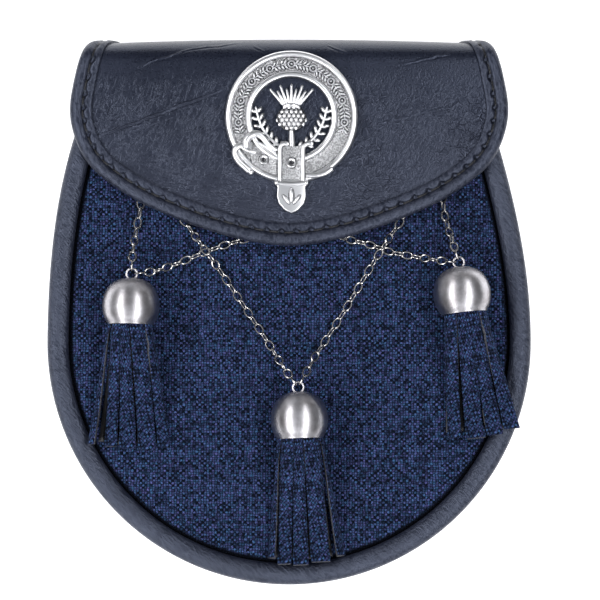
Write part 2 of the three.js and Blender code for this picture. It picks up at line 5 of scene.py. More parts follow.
from bisect import bisect_right
from math import asin, atan, atan2, copysign, cos, exp, hypot, pi, radians, sin, sqrt, tau

import bmesh
import bpy
from mathutils import Matrix, Vector


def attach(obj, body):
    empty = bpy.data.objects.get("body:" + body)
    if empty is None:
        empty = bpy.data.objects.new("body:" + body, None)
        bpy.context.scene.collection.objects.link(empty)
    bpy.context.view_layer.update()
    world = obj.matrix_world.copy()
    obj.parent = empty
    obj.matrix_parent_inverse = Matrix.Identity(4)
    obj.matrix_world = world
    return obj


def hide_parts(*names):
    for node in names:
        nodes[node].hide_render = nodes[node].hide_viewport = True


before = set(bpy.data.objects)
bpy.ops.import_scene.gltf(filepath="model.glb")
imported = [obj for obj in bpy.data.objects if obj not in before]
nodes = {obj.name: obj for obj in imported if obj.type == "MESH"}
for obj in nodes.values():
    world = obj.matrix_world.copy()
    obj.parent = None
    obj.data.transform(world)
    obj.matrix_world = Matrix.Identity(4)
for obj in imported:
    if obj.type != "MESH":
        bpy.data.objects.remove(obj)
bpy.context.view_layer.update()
MM = 0.001


# Gusset
# The wall of the pocket is one strip of black leather, turned out at the back into a flat rim
# and bulging a little between its two seams. It is open at the mouth, under the flap.

BOTTOM_RADIUS = 90.4
SIDE_RADIUS = 270
WIDEST_Y = -11.5
MOUTH_Y = 88
BOTTOM_Y = WIDEST_Y - BOTTOM_RADIUS
DEPTH_BOTTOM = 34
DEPTH_MOUTH = 21
TILT = (DEPTH_BOTTOM - DEPTH_MOUTH) / (MOUTH_Y - BOTTOM_Y)
SIDE_SHARE = 0.207
LEAN = -1.5
GUSSET_DROP = 2.6
OUTLINE_UV = (0.483, 0.02)
SHARP_ANGLE = radians(40)
GUSSET_SECTION = [
    (2, 0), (1.1, 0.12), (0.5, 0.25), (0.1, 0.38), (0, 0.52), (0.15, 0.66), (0.6, 0.8), (1.3, 0.91),
    (2.4, 1), (4.2, 1), (2.4, 0.75), (1.8, 0.5), (1.9, 0.2), (3.2, 0.08), (8, 0.08), (8, 0),
]


def half_width(y, inset=0):
    rise = y - WIDEST_Y
    if rise < 0:
        return sqrt(max(0, (BOTTOM_RADIUS - inset) ** 2 - rise ** 2))
    return BOTTOM_RADIUS - SIDE_RADIUS + sqrt((SIDE_RADIUS - inset) ** 2 - rise ** 2)


def smooth(t):
    t = min(max(t, 0), 1)
    return t * t * (3 - 2 * t)


def front_z(y):
    return DEPTH_BOTTOM - TILT * (y - BOTTOM_Y)


def body_lean(y):
    """The sewn body isn't quite true: towards the mouth it leans to the left."""
    return LEAN * smooth((y + 8) / 70)


def edge_point(t, inset):
    """From the upper left corner round the bottom to the upper right one."""
    if SIDE_SHARE <= t <= 1 - SIDE_SHARE:
        angle = pi * (1 + (t - SIDE_SHARE) / (1 - 2 * SIDE_SHARE))
        radius = BOTTOM_RADIUS - inset
        x, y = radius * cos(angle), WIDEST_Y + radius * sin(angle)
    else:
        y = MOUTH_Y + (WIDEST_Y - MOUTH_Y) * min(t, 1 - t) / SIDE_SHARE
        x = copysign(half_width(y, inset), t - 0.5)
    return x + body_lean(y), y


def patch(columns, rows, place, uv_size=(1, 1), closed=False):
    """A skin of quads. place(a, b) gives its points, with a and b from 0 to 1, and the UV map
    is as long and wide as uv_size. A closed skin has its seam merged and its ends filled."""
    skin = bmesh.new()
    uv = skin.loops.layers.uv.new("UVMap")
    bmesh.ops.create_grid(skin, x_segments=columns, y_segments=rows, size=0.5, calc_uvs=True)
    for vert in skin.verts:
        vert.co = Vector(place(vert.co.x + 0.5, vert.co.y + 0.5))
    for face in skin.faces:
        for loop in face.loops:
            loop[uv].uv = (loop[uv].uv.x * uv_size[0], loop[uv].uv.y * uv_size[1])
    bmesh.ops.remove_doubles(skin, verts=skin.verts, dist=1e-4)
    if closed:
        bmesh.ops.holes_fill(skin, edges=[edge for edge in skin.edges if edge.is_boundary])
        bmesh.ops.recalc_face_normals(skin, faces=skin.faces)
    return skin


def mesh_of(name, skin):
    mesh = bpy.data.meshes.new(name)
    skin.to_mesh(mesh)
    skin.free()
    return mesh


def object_of(name, data):
    made = bpy.data.objects.new(name, data)
    bpy.context.scene.collection.objects.link(made)
    return made


def piece(name, skin, materials, replaced=()):
    """Makes the skin an object in metres that rides on the pouch."""
    bmesh.ops.scale(skin, vec=(MM, MM, MM), verts=skin.verts)
    mesh = mesh_of(name, skin)
    mesh.shade_smooth()
    mesh.set_sharp_from_angle(angle=SHARP_ANGLE)
    for material in materials:
        mesh.materials.append(material)
    made = object_of(name, mesh)
    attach(made, "root")
    if replaced:
        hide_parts(*replaced)
    return made


def fill(socket, value):
    """Links a socket to another one, or gives it a plain value."""
    if isinstance(value, bpy.types.NodeSocket):
        socket.id_data.links.new(value, socket)
    else:
        socket.default_value = value


def tree_of(*values):
    """The node tree of the first value that is a socket."""
    return next(value.id_data for value in values if isinstance(value, bpy.types.NodeSocket))


def shader_node(tree, kind, inputs=(), **settings):
    made = tree.nodes.new("ShaderNode" + kind)
    for name, value in settings.items():
        setattr(made, name, value)
    for name, value in dict(inputs).items():
        fill(made.inputs[name], value)
    return made


def maths(operation, a, b=0.0, clamp=False):
    made = shader_node(tree_of(a, b), "Math", {0: a, 1: b}, operation=operation, use_clamp=clamp)
    return made.outputs[0]


def times(a, b):
    return maths("MULTIPLY", a, b)


def plus(a, b):
    return maths("ADD", a, b)


def vector_maths(operation, a, b=(0.0, 0.0, 0.0), wanted=0):
    return shader_node(tree_of(a, b), "VectorMath", {0: a, 1: b}, operation=operation).outputs[wanted]


def turned_by(vector, angle):
    inputs = {"Vector": vector, "Angle": angle}
    return shader_node(vector.id_data, "VectorRotate", inputs, rotation_type="Z_AXIS").outputs[0]


def combined(**parts):
    return shader_node(tree_of(*parts.values()), "CombineXYZ", parts).outputs[0]


def ramp(value, low, high, to_low=0.0, to_high=1.0):
    inputs = {"Value": value, "From Min": low, "From Max": high, "To Min": to_low, "To Max": to_high}
    return shader_node(value.id_data, "MapRange", inputs).outputs["Result"]


def blend_colours(share, a, b):
    made = shader_node(share.id_data, "Mix", {"Factor": share}, data_type="RGBA")
    for socket, value in ((made.inputs[6], a), (made.inputs[7], b)):
        fill(socket, value if isinstance(value, bpy.types.NodeSocket) else (*value, 1))
    return made.outputs[2]


def noise(vector, scale, detail=2.0, rough=0.5):
    inputs = {"Vector": vector, "Scale": scale, "Detail": detail, "Roughness": rough}
    return shader_node(vector.id_data, "TexNoise", inputs).outputs["Fac"]


def shader_group(name, inputs, outputs):
    """A node group with its named sockets. Returns the group, its inputs and its output node."""
    group = bpy.data.node_groups.new(name, "ShaderNodeTree")
    for label, kind in inputs.items():
        group.interface.new_socket(label, in_out="INPUT", socket_type="NodeSocket" + kind)
    for label, kind in outputs.items():
        group.interface.new_socket(label, in_out="OUTPUT", socket_type="NodeSocket" + kind)
    return group, group.nodes.new("NodeGroupInput").outputs, group.nodes.new("NodeGroupOutput")


def place_group(group, inputs):
    return shader_node(tree_of(*inputs.values()), "Group", inputs, node_tree=group).outputs


def dress(shader, **values):
    """Fills the shader's sockets, with _ for a space in their names."""
    for name, value in values.items():
        fill(shader.inputs[name.replace("_", " ")], value)


def finish_of(name, **values):
    """A new material, its shader and where an object's coordinates come out."""
    made = bpy.data.materials.new(name)
    made.use_nodes = True
    nodes_of_it = made.node_tree.nodes
    shader = nodes_of_it["Principled BSDF"]
    dress(shader, **values)
    return made, shader, nodes_of_it.new("ShaderNodeTexCoord").outputs


def bump(shader, height, distance, strength=1.0):
    inputs = {"Height": height, "Distance": distance, "Strength": strength}
    dress(shader, Normal=shader_node(shader.id_data, "Bump", inputs).outputs["Normal"])


# Creases of leather: ridged noise, drawn out in one direction, over a fine pebbled grain.
crease_group, given, result = shader_group(
    "leather_creases",
    {"Vector": "Vector", "Turn": "Float", "Across": "Float", "Along": "Float", "Width": "Float"},
    {"Ridges": "Float", "Grain": "Float", "Pebbles": "Float"},
)
scales = combined(X=given["Along"], Y=given["Across"], Z=given["Across"])
drawn = vector_maths("MULTIPLY", turned_by(given["Vector"], given["Turn"]), scales)
centred = maths("ABSOLUTE", maths("SUBTRACT", noise(drawn, 1.0, 3.0, 0.55), 0.5))
fill(result.inputs["Ridges"], ramp(centred, given["Width"], 0.0))
fill(result.inputs["Grain"], noise(given["Vector"], 1500.0, 2.0, 0.6))
fill(result.inputs["Pebbles"], noise(given["Vector"], 560.0, 1.0))

LEATHER_DARK = (0.004, 0.005, 0.011)
LEATHER_LIGHT = (0.013, 0.0155, 0.027)
# The third colour is a painted highlight, blended onto the high spots of creased leather.
LEATHER_HIGHLIGHT = (0.075, 0.082, 0.115)
LEATHER_SHEEN = (0.66, 0.75, 1.0, 1)


def creases_at(vector, turn, across, along, width):
    """Creases at that angle, in degrees, with so many to a metre across and along them."""
    return place_group(crease_group, {
        "Vector": vector, "Turn": radians(turn), "Across": across, "Along": along, "Width": width})


def leather_colour(painted_highlight, tone):
    """Black leather by its tone, blended by the first share towards a painted highlight on its high spots.
    """
    return blend_colours(painted_highlight, blend_colours(tone, LEATHER_DARK, LEATHER_LIGHT), LEATHER_HIGHLIGHT)


welt_leather, shader, spots = finish_of(
    "welt_leather", Specular_IOR_Level=0.74, Specular_Tint=LEATHER_SHEEN)
creases = creases_at(spots["Object"], 48, 620.0, 190.0, 0.14)
patches = noise(spots["Object"], 60.0, 3.0, 0.6)
tone = plus(ramp(patches, 0.35, 0.7, 0.0, 0.7), times(creases["Grain"], 0.4))
# The crease ridges are painted lighter, a painted highlight.
dress(shader, Base_Color=leather_colour(times(creases["Ridges"], 0.22), tone),
      Roughness=ramp(creases["Ridges"], 0.0, 1.0, 0.44, 0.36))
bump(shader, plus(creases["Ridges"], times(creases["Grain"], 0.9)), 0.00014)


def swept(section, columns, rule, uv_size=(1, 1)):
    """A closed section, carried along a line. rule(a, *pair) gives the points of each pair."""
    rows = len(section)

    def place(a, b):
        return rule(a, *section[round(b * rows) % rows])
    return patch(columns, rows, place, uv_size, closed=True)


def carried(section, front, columns=240):
    """A closed section of insets and heights, carried along the outline of the pouch."""
    def rule(a, inset, height):
        x, y = edge_point(a, inset)
        return x, y, front(height, y)
    return swept(section, columns, rule, OUTLINE_UV)


gusset_skin = carried(GUSSET_SECTION, lambda height, y: height * (front_z(y) - GUSSET_DROP))
piece("gusset_wall", gusset_skin, [welt_leather], ["gusset"])
for name in ("back_panel", "strap_keeper"):
    nodes[name].material_slots[0].material = welt_leather


# Front welt
# The edge of the front is a strip of leather rolled round a soft cord and sewn in between the
# gusset and the tweed. Its section is the same all the way round.

WELT = {"centre": 3.5, "half_width": 4.0, "half_height": 2.9}
welt_section = []
for step in range(20):
    around = tau * step / 20
    welt_section.append((WELT["centre"] + WELT["half_width"] * cos(around),
                         WELT["half_height"] * sin(around)))


def welt_height(height, y):
    return front_z(y) + height


piece("front_welt_roll", carried(welt_section, welt_height, 320), [welt_leather],
      ["front_welt"])


# Front panel
# Blue and black tweed, a loose hopsack of woollen yarn, glued over a leather board. It swells
# a little in the middle and dips under the welt at its edge.

PANEL = {"inset": 9, "crown": 1.6, "tuck": 6.9, "dip": 2.6, "dip_width": 3.4, "thickness": 1.6,
         "shadow_from": 8.2, "shadow_width": 1.5}
TWEED_PITCH = 0.00101
SEAM_SHADOW = (0.001, 0.001, 0.002)


def inset_of(x, y):
    rise = y - WIDEST_Y
    if rise < 0:
        return BOTTOM_RADIUS - hypot(x, rise)
    return SIDE_RADIUS - hypot(abs(x) - BOTTOM_RADIUS + SIDE_RADIUS, rise)


def mix(a, b, t):
    return a + (b - a) * t


def panel_top(x, y):
    swell = (half_width(y, PANEL["inset"]) ** 2 - x ** 2) / (BOTTOM_RADIUS - PANEL["inset"]) ** 2
    return front_z(y) + PANEL["crown"] * max(0, swell)


def panel_place(a, b):
    if b < 0.5:
        y = WIDEST_Y - (BOTTOM_RADIUS - PANEL["tuck"]) * cos(pi * b)
    else:
        y = mix(WIDEST_Y, MOUTH_Y, 2 * b - 1)
    x = half_width(y, PANEL["tuck"]) * sin(pi * (a - 0.5))
    dip = 1 - smooth((inset_of(x, y) - PANEL["tuck"]) / PANEL["dip_width"])
    return x + body_lean(y), y, panel_top(x, y) - PANEL["dip"] * dip


def seam_shade_at(co):
    """How much painted shade the cloth gets: 1 where it goes down into the seam, 0 on the open front."""
    x, y = co.x / MM, co.y / MM
    return 1 - smooth((inset_of(x - body_lean(y), y) - PANEL["shadow_from"]) / PANEL["shadow_width"])


def parts_of(vector):
    return shader_node(vector.id_data, "SeparateXYZ", {0: vector}).outputs


def painted(shader, name):
    """What an attribute of the mesh says at a point."""
    return shader_node(shader.id_data, "Attribute", attribute_name=name).outputs["Fac"]


weave_group, given, result = shader_group(
    "hopsack_weave", {"Vector": "Vector", "Pitch": "Float"}, {"Color": "Color", "Height": "Float"})
strays = [times(noise(given["Vector"], scale), 0.0013) for scale in (520.0, 430.0)]
strayed = vector_maths("ADD", given["Vector"], combined(X=strays[0], Y=strays[1]))
threads = shader_node(weave_group, "VectorMath", {
    0: vector_maths("MULTIPLY", strayed, (1.0, 1.1, 1.0)), "Scale": maths("DIVIDE", 1.0, given["Pitch"]),
}, operation="SCALE").outputs[0]
axes = parts_of(threads)
cell = [maths("FLOOR", axes[axis]) for axis in ("X", "Y")]
over = maths("MODULO", maths("ABSOLUTE", plus(*cell)), 2.0)


def chance(**key):
    """A random number for every cell, row or column of the weave."""
    return shader_node(weave_group, "TexWhiteNoise", {"Vector": combined(**key)},
                       noise_dimensions="3D").outputs[0]


hump = [maths("SINE", times(maths("FRACT", axes[axis]), pi)) for axis in ("X", "Y")]
rounded = times(maths("POWER", hump[0], 0.8), maths("POWER", hump[1], 0.5))
fibres = noise(given["Vector"], 1500.0, 1.0)
blueness = times(over, 0.22)
for source, share in ((chance(X=cell[0], Y=cell[1]), 0.5), (fibres, 0.5),
                      (chance(X=cell[0], Z=7.0), 0.08), (chance(Y=cell[1], Z=3.0), 0.08)):
    blueness = plus(blueness, times(source, share))
blueness = times(ramp(blueness, 0.45, 1.0), rounded)
YARN_DARK = (0.0022, 0.0036, 0.0085)
YARN_TEAL = (0.041, 0.108, 0.235)
YARN_VIOLET = (0.078, 0.082, 0.245)
hue = ramp(noise(given["Vector"], 900.0, 1.0), 0.35, 0.65)
wool = blend_colours(hue, YARN_TEAL, YARN_VIOLET)
fill(result.inputs["Color"], blend_colours(blueness, YARN_DARK, wool))
fill(result.inputs["Height"], rounded)


def tweed(name, coordinates, turn=0):
    """Woollen cloth, woven along the given coordinates."""
    made, shader, spots = finish_of(name, Roughness=0.95, Specular_IOR_Level=0.05, Sheen_Weight=0.05,
                                    Sheen_Roughness=0.5, Sheen_Tint=(0.45, 0.6, 1.0, 1))
    across_it = turned_by(spots[coordinates], radians(turn))
    woven = place_group(weave_group, {"Vector": across_it, "Pitch": TWEED_PITCH})
    # Painted shade: the cloth is blended to black where the mesh's attribute marks it going down into the
    # seam.
    dress(shader, Base_Color=blend_colours(painted(shader, "seam_shade"), woven["Color"], SEAM_SHADOW))
    bump(shader, plus(woven["Height"], times(noise(spots[coordinates], 4200.0), 0.4)), 0.00022)
    return made


def thicken(made, name, thickness, offset):
    """Gives a sheet its thickness, below it (-1) or to both sides (0)."""
    solid = made.modifiers.new(name, "SOLIDIFY")
    solid.thickness = thickness * MM
    solid.offset = offset
    return solid


panel_tweed = tweed("panel_tweed", "Object")
front_panel = piece("front_panel_cloth", patch(110, 150, panel_place, uv_size=(0.166, 0.182)),
                    [panel_tweed], ["front_panel"])
# Painted shade, 1 where the cloth dips into the seam under the welt.
seam_shade = front_panel.data.attributes.new("seam_shade", "FLOAT", "POINT")
for vert in front_panel.data.vertices:
    seam_shade.data[vert.index].value = seam_shade_at(vert.co)
thicken(front_panel, "board", PANEL["thickness"], -1)


# Flap
# One piece of black leather, sewn to the back, that comes over the top and down the front. Its
# grain is crinkled, with a few long creases where it has been bent.

FLAP = {"thickness": 1.5, "fold_y": 91.65, "rise": 8.5, "crown": 3, "crown_from": 17, "over_welt": 5.3,
        "bow": 2.1, "back": 2.4}
FOLD_POWER = 0.77
FLAP_EDGE = [
    (69.5, -14), (74.2, 0), (78, 10.8), (80.6, 20), (82.5, 32), (81.2, 41.6), (77, 51.2),
    (69.5, 59.2), (56, 68), (37, 76.2), (18, 82), (0, 84.4),
]
FLAP_HALF = 82.5
FLAP_SET_IN = 1.2
CREASE = {"half_width": 0.75, "depth": 0.12}
TONGUE = {"half_width": 62, "corner_y": 88.65, "end_y": 52}
CREASES = [
    ((-72, 65.2), (-22.5, 83.4), 0.5), ((-58, 90.5), (-34, 99.2), 0.3), ((-40, 97.5), (-17, 100.6), 0.25),
    ((-69, 71.2), (-47, 80.5), 0.2), ((-60.5, 66.5), (-41.5, 73.2), 0.2), ((33, 70), (62, 76.5), 0.16),
    ((14, 99.5), (22, 96), 0.25), ((41, 92), (66, 97.5), 0.18), ((-14, 99.5), (-9, 96.5), 0.2),
]


def through(points):
    """A smooth curve through the points, for t from 0 to 1."""
    points = [Vector(point) for point in points]
    spans = len(points) - 1

    def at(t):
        reach = min(max(t, 0), 1) * spans
        first = min(int(reach), spans - 1)
        u = reach - first
        a, b, c, d = (points[min(max(first + step, 0), spans)] for step in (-1, 0, 1, 2))
        return 0.5 * (2 * b + (c - a) * u + (2 * a - 5 * b + 4 * c - d) * u ** 2
                      + (3 * b - a - 3 * c + d) * u ** 3)
    return at


def evenly(curve, steps=600):
    """The same curve with t running evenly along it, and its length."""
    points = [curve(i / steps) for i in range(steps + 1)]
    reached = [0]
    for a, b in zip(points, points[1:]):
        reached.append(reached[-1] + (b - a).length)

    def at(t):
        wanted = min(max(t, 0), 1) * reached[-1]
        i = min(bisect_right(reached, wanted), steps) - 1
        return points[i].lerp(points[i + 1], (wanted - reached[i]) / (reached[i + 1] - reached[i]))
    return at, reached[-1]


flap_back_z = FLAP["back"] - FLAP["thickness"] / 2
fold_half = (front_z(FLAP["fold_y"]) + FLAP["over_welt"] - flap_back_z) / 2
fold_points = []
for step in range(25):
    angle = pi * (step / 24 - 0.5)
    rise = abs(cos(angle)) ** FOLD_POWER
    swing = copysign(abs(sin(angle)) ** FOLD_POWER, angle)
    fold_points.append((FLAP["fold_y"] + FLAP["rise"] * rise, flap_back_z + fold_half * (1 + swing)))
fold, fold_length = evenly(through(fold_points))
fold_quarter = fold_length / 2


def bent_point(x, s, rise):
    """Where a point of the flat cut leather lies: s runs forwards from the top of the fold."""
    if abs(s) < fold_quarter:
        along = (s / fold_quarter + 1) / 2
        y, z = fold(along)
        ahead = fold(along + 0.01) - fold(along - 0.01)
        out = Vector((0, ahead[1], -ahead[0])).normalized()
    elif s < 0:
        y, z, out = FLAP["fold_y"] + s + fold_quarter, flap_back_z, Vector((0, 0, -1))
    else:
        y = FLAP["fold_y"] - (s - fold_quarter)
        z, out = front_z(y) + FLAP["over_welt"], Vector((0, TILT, 1)).normalized()
    fullness = 1 - (x / FLAP_HALF) ** 2
    crown = FLAP["crown"] * smooth(s / FLAP["crown_from"]) * fullness
    bow = FLAP["bow"] * (1 - smooth(abs(s) / (1.4 * fold_quarter))) * fullness
    return Vector((x, y + bow, z + crown)) + out * rise


half_edge = [Vector(point) for point in FLAP_EDGE]
other_half = [Vector((-point.x, point.y)) for point in half_edge[-2::-1]]
flap_edge, flap_edge_length = evenly(through(half_edge + other_half), 1200)


def inward_at(t):
    """The unit direction in from the flap's edge, which stays square to the fold."""
    along = (flap_edge(t + 0.004) - flap_edge(t - 0.004)).normalized()
    at = flap_edge(t)
    bent = 1 - smooth((at.y - fold_quarter) / 10)
    return Vector((-along.y, along.x)).lerp(Vector((-copysign(1, at.x), 0)), bent).normalized()


def hill(value, middle, half_width):
    """1 where the value is in the middle, and less to both sides."""
    return exp(-((value - middle) / half_width) ** 2)


def crease_depth(x, y):
    depth = 0
    for start, end, deep in CREASES:
        a, b = Vector(start), Vector(end)
        share = min(max((Vector((x, y)) - a).dot(b - a) / (b - a).length_squared, 0), 1)
        away = (Vector((x, y)) - a.lerp(b, share)).length
        fade = smooth(min(share, 1 - share) * 8 + 0.2)
        depth += deep * fade * hill(away, 0, CREASE["half_width"])
    return depth


FLAP_ROWS = 150
cut_line = [flap_edge(0.5 * (1 - i / FLAP_ROWS)) + inward_at(0.5 * (1 - i / FLAP_ROWS)) * FLAP_SET_IN
            for i in range(FLAP_ROWS + 1)]
for y in (TONGUE["corner_y"], TONGUE["end_y"]):
    cut_line.append(Vector((TONGUE["half_width"], y - FLAP["fold_y"] - fold_quarter)))


def flap_place(a, b):
    cut = cut_line[round(b * (len(cut_line) - 1))]
    x = 0 if b == 0 else cut.x * (2 * a - 1)
    on_front = bent_point(x, cut.y, 0)
    return bent_point(x, cut.y, -CREASE["depth"] * crease_depth(x, on_front.y) if cut.y > -5 else 0)


# A long crease: a groove with a raised lip, from one point to another, wandering a little.
line_group, given, result = shader_group(
    "long_crease", {"Vector": "Vector", "Start": "Vector", "End": "Vector", "Width": "Float"},
    {"Height": "Float"})
flat_run, flat_spot = (
    vector_maths("MULTIPLY", vector_maths("SUBTRACT", given[end], given["Start"]), (1.0, 1.0, 0.0))
    for end in ("End", "Vector"))
dots = [vector_maths("DOT_PRODUCT", flat_run, other, "Value") for other in (flat_spot, flat_run)]
reach = maths("DIVIDE", *dots, clamp=True)
square_on = vector_maths("NORMALIZE", vector_maths("CROSS_PRODUCT", flat_run, (0.0, 0.0, 1.0)))
side_on = vector_maths("DOT_PRODUCT", square_on, flat_spot, "Value")
wander = times(maths("SUBTRACT", noise(given["Vector"], 110.0, 3.0), 0.5), 0.003)
offset = maths("DIVIDE", plus(side_on, wander), given["Width"])
BELL_BASE = 2.718


def bell(value, sharpness):
    """1 where the value is 0, and less to both sides."""
    return maths("POWER", BELL_BASE, times(times(value, value), -sharpness))


lip_and_groove = maths("SUBTRACT", bell(plus(offset, 1.6), 1.2), times(bell(offset, 1.0), 0.7))
ends = times(ramp(reach, 0.0, 0.12), ramp(reach, 1.0, 0.8))
broken = ramp(noise(given["Vector"], 120.0), 0.3, 0.5, 0.35, 1.0)
fill(result.inputs["Height"], times(lip_and_groove, times(ends, broken)))

flap_leather, shader, spots = finish_of(
    "flap_leather", Roughness=0.36, Specular_IOR_Level=0.5, Specular_Tint=LEATHER_SHEEN)
here = spots["Object"]
tree = shader.id_data
slanting = creases_at(here, -62, 360.0, 130.0, 0.08)
level = creases_at(here, 8, 360.0, 95.0, 0.08)
on_flap = parts_of(here)
off_the_fold = ramp(on_flap["Y"], 0.092, 0.076)
on_the_right = ramp(on_flap["X"], 0.012, 0.034, 0.35, 1.0)
wrinkled = times(ramp(noise(here, 30.0), 0.34, 0.54, 0.25, 1.0),
                 ramp(noise(here, 170.0, 1.0), 0.3, 0.62, 0.3, 1.0))
crinkle = shader_node(tree, "Mix", {
    "Factor": ramp(on_flap["Y"], 0.062, 0.038), 2: slanting["Ridges"], 3: level["Ridges"],
}, data_type="FLOAT").outputs[0]
scatter = shader_node(tree, "TexNoise", {"Vector": here, "Scale": 260.0, "Detail": 2.0})
shift = vector_maths("MULTIPLY", scatter.outputs["Color"], (0.0022, 0.0022, 0.0))
cells = shader_node(tree, "TexVoronoi", {"Vector": vector_maths("ADD", here, shift), "Scale": 420.0},
                    feature="DISTANCE_TO_EDGE").outputs[0]
crinkle = maths("MAXIMUM", times(crinkle, 0.9), times(ramp(cells, 0.11, 0.0), on_the_right))
crinkle = times(crinkle, times(wrinkled, off_the_fold))
flap_tone = plus(ramp(noise(here, 45.0, 3.0), 0.35, 0.7, 0.0, 0.6),
                 ramp(slanting["Grain"], 0.4, 0.6, 0.0, 0.5))
patches = times(off_the_fold, ramp(noise(here, 48.0, 1.0), 0.35, 0.6, 0.3, 0.9))
flap_relief = plus(crinkle, times(slanting["Grain"], 0.4))
flap_relief = plus(flap_relief, times(slanting["Pebbles"], patches))
# The crinkle ridges are painted lighter, a painted highlight.
painted_highlight = crinkle
for start, end, deep in CREASES:
    line = place_group(line_group, {
        "Vector": here, "Start": (start[0] * MM, start[1] * MM, 0),
        "End": (end[0] * MM, end[1] * MM, 0), "Width": 0.0004})
    flap_relief = plus(flap_relief, times(line["Height"], 2.0 * deep))
    # Each long crease's raised lip gets a painted highlight line.
    painted_highlight = maths("MAXIMUM", painted_highlight, times(line["Height"], 2.4 * deep))
# The flap is also painted lighter towards its tip.
lighter_towards_tip = ramp(on_flap["Y"], 0.088, 0.03, 0.0, 0.2)
painted_highlight = maths("ADD", times(painted_highlight, 0.07), lighter_towards_tip, clamp=True)
dress(shader, Base_Color=leather_colour(painted_highlight, flap_tone),
      Roughness=ramp(slanting["Grain"], 0.3, 0.7, 0.26, 0.36))
bump(shader, flap_relief, 0.0003)

flap = piece("flap_sheet", patch(200, len(cut_line) - 1, flap_place, uv_size=(0.165, 0.19)),
             [flap_leather], ["flap"])
thicken(flap, "substance", FLAP["thickness"], 0)


# Flap binding
# A strip of smooth leather is folded round the flap's cut edge and sewn through with black
# waxed thread, six millimetres to a stitch. It is plump outside the seam and puckered by it.

STITCH = {"pitch": 6.0, "inset": 4.9, "thread": 0.42, "rise": 0.98, "dive": 1.4, "flat": 0.35}
BINDING_SECTION = [
    (8.3, 0.8), (8.3, 1.45), (7.95, 1.75), (7.2, 1.85), (6.5, 1.88), (5.9, 1.78), (5.5, 1.5),
    (5.2, 1.2), (4.9, 1.1), (4.6, 1.2), (4.3, 1.5), (3.8, 1.88), (3.2, 2.08), (2.4, 2.1), (1.6, 1.92),
    (0.9, 1.55), (0.35, 1.0), (0.05, 0.35), (0, -0.3), (0.3, -1.0), (1.1, -1.7), (3, -1.85),
    (6, -1.85), (6, -1.05), (3, -1.05), (0.9, -1.05), (0.9, 0.8), (4, 0.8),
]
stitch_count = round(flap_edge_length / STITCH["pitch"])


def at_hole(t):
    """1 at a needle hole and 0 half a stitch away."""
    phase = abs((t * stitch_count) % 1 - 0.5) * 2
    return max(0, phase - STITCH["flat"]) / (1 - STITCH["flat"])


def binding_point(a, inset, rise):
    """A point of the section, puckered by the stitches if it is on the upper side."""
    if rise > 0.9:
        pull = at_hole(a)
        along = (a * stitch_count + 0.5) % 1 - 0.5
        inner_wall = hill(inset, 5.6, 0.5)
        rise -= 0.75 * hill(inset, 5.3 + 2.4 * along, 0.6) * pull
        rise += 0.2 * hill(inset, 6.4, 0.9) * (0.5 + 0.5 * cos(tau * (a * stitch_count - 0.12))) ** 2
        rise += 0.1 * hill(inset, 3.4, 1.2) * cos(tau * a * stitch_count + pi)
        inset += inner_wall * mix(-0.3, 0.6, pull)
    cut = flap_edge(a) + inward_at(a) * inset
    return bent_point(cut.x, cut.y, rise)


binding_leather, shader, spots = finish_of(
    "binding_leather", Roughness=0.36, Specular_Tint=LEATHER_SHEEN)
here = spots["Object"]
folds = creases_at(here, 75, 620.0, 260.0, 0.12)
tone = plus(ramp(noise(here, 80.0, 3.0), 0.35, 0.7, 0.0, 0.8), times(folds["Grain"], 0.3))
round_it = parts_of(spots["UV"])["Y"]
spot = parts_of(here)
on_edge = times(ramp(round_it, 0.0185, 0.019), ramp(round_it, 0.0202, 0.0197))
on_sides = times(ramp(maths("ABSOLUTE", spot["X"]), 0.066, 0.072), ramp(spot["Y"], 0.071, 0.066))
# Painted highlight: a thin pale line along the outer rolled edge, on the flap's sides only.
painted_edge_highlight = times(times(on_edge, on_sides), ramp(noise(here, 300.0), 0.35, 0.5, 0.4, 1.0))
# Painted shade: the rows of the stitched groove are blended to black.
painted_seam_shade = times(ramp(round_it, 0.0056, 0.0072), ramp(round_it, 0.0108, 0.0098))
# The fold ridges are painted lighter, a painted highlight.
colour = blend_colours(painted_seam_shade, leather_colour(times(folds["Ridges"], 0.3), tone), SEAM_SHADOW)
dress(shader, Base_Color=blend_colours(painted_edge_highlight, colour, (0.25, 0.26, 0.3)))
bump(shader, plus(times(folds["Ridges"], 0.7), folds["Grain"]), 0.00009)
binding_skin = swept(BINDING_SECTION, 960, binding_point, uv_size=(flap_edge_length * MM, 0.03))
piece("flap_binding_strip", binding_skin, [binding_leather], ["flap_binding"])

thread, shader, spots = finish_of("waxed_thread", Roughness=0.45)
twist = shader_node(
    shader.id_data, "TexWave", {"Vector": spots["UV"], "Scale": 1100.0, "Distortion": 0.5},
    bands_direction="DIAGONAL").outputs["Fac"]
dress(shader, Base_Color=blend_colours(twist, (0.004, 0.004, 0.005), (0.012, 0.012, 0.015)))
bump(shader, twist, 0.00008)


def stitch_place(a, b):
    turn = tau * b
    cut = flap_edge(a) + inward_at(a) * (STITCH["inset"] + STITCH["thread"] * cos(turn))
    rise = STITCH["rise"] - STITCH["dive"] * at_hole(a) ** 1.5
    return bent_point(cut.x, cut.y, rise + STITCH["thread"] * sin(turn))


piece("flap_stitching", patch(900, 8, stitch_place, uv_size=(flap_edge_length * MM, 0.003), closed=True),
      [thread])


# Press stud and staples
# Small hidden fittings of plated steel, riveted or pushed through the front before the flap
# covers them. They keep the plain form of the frame.

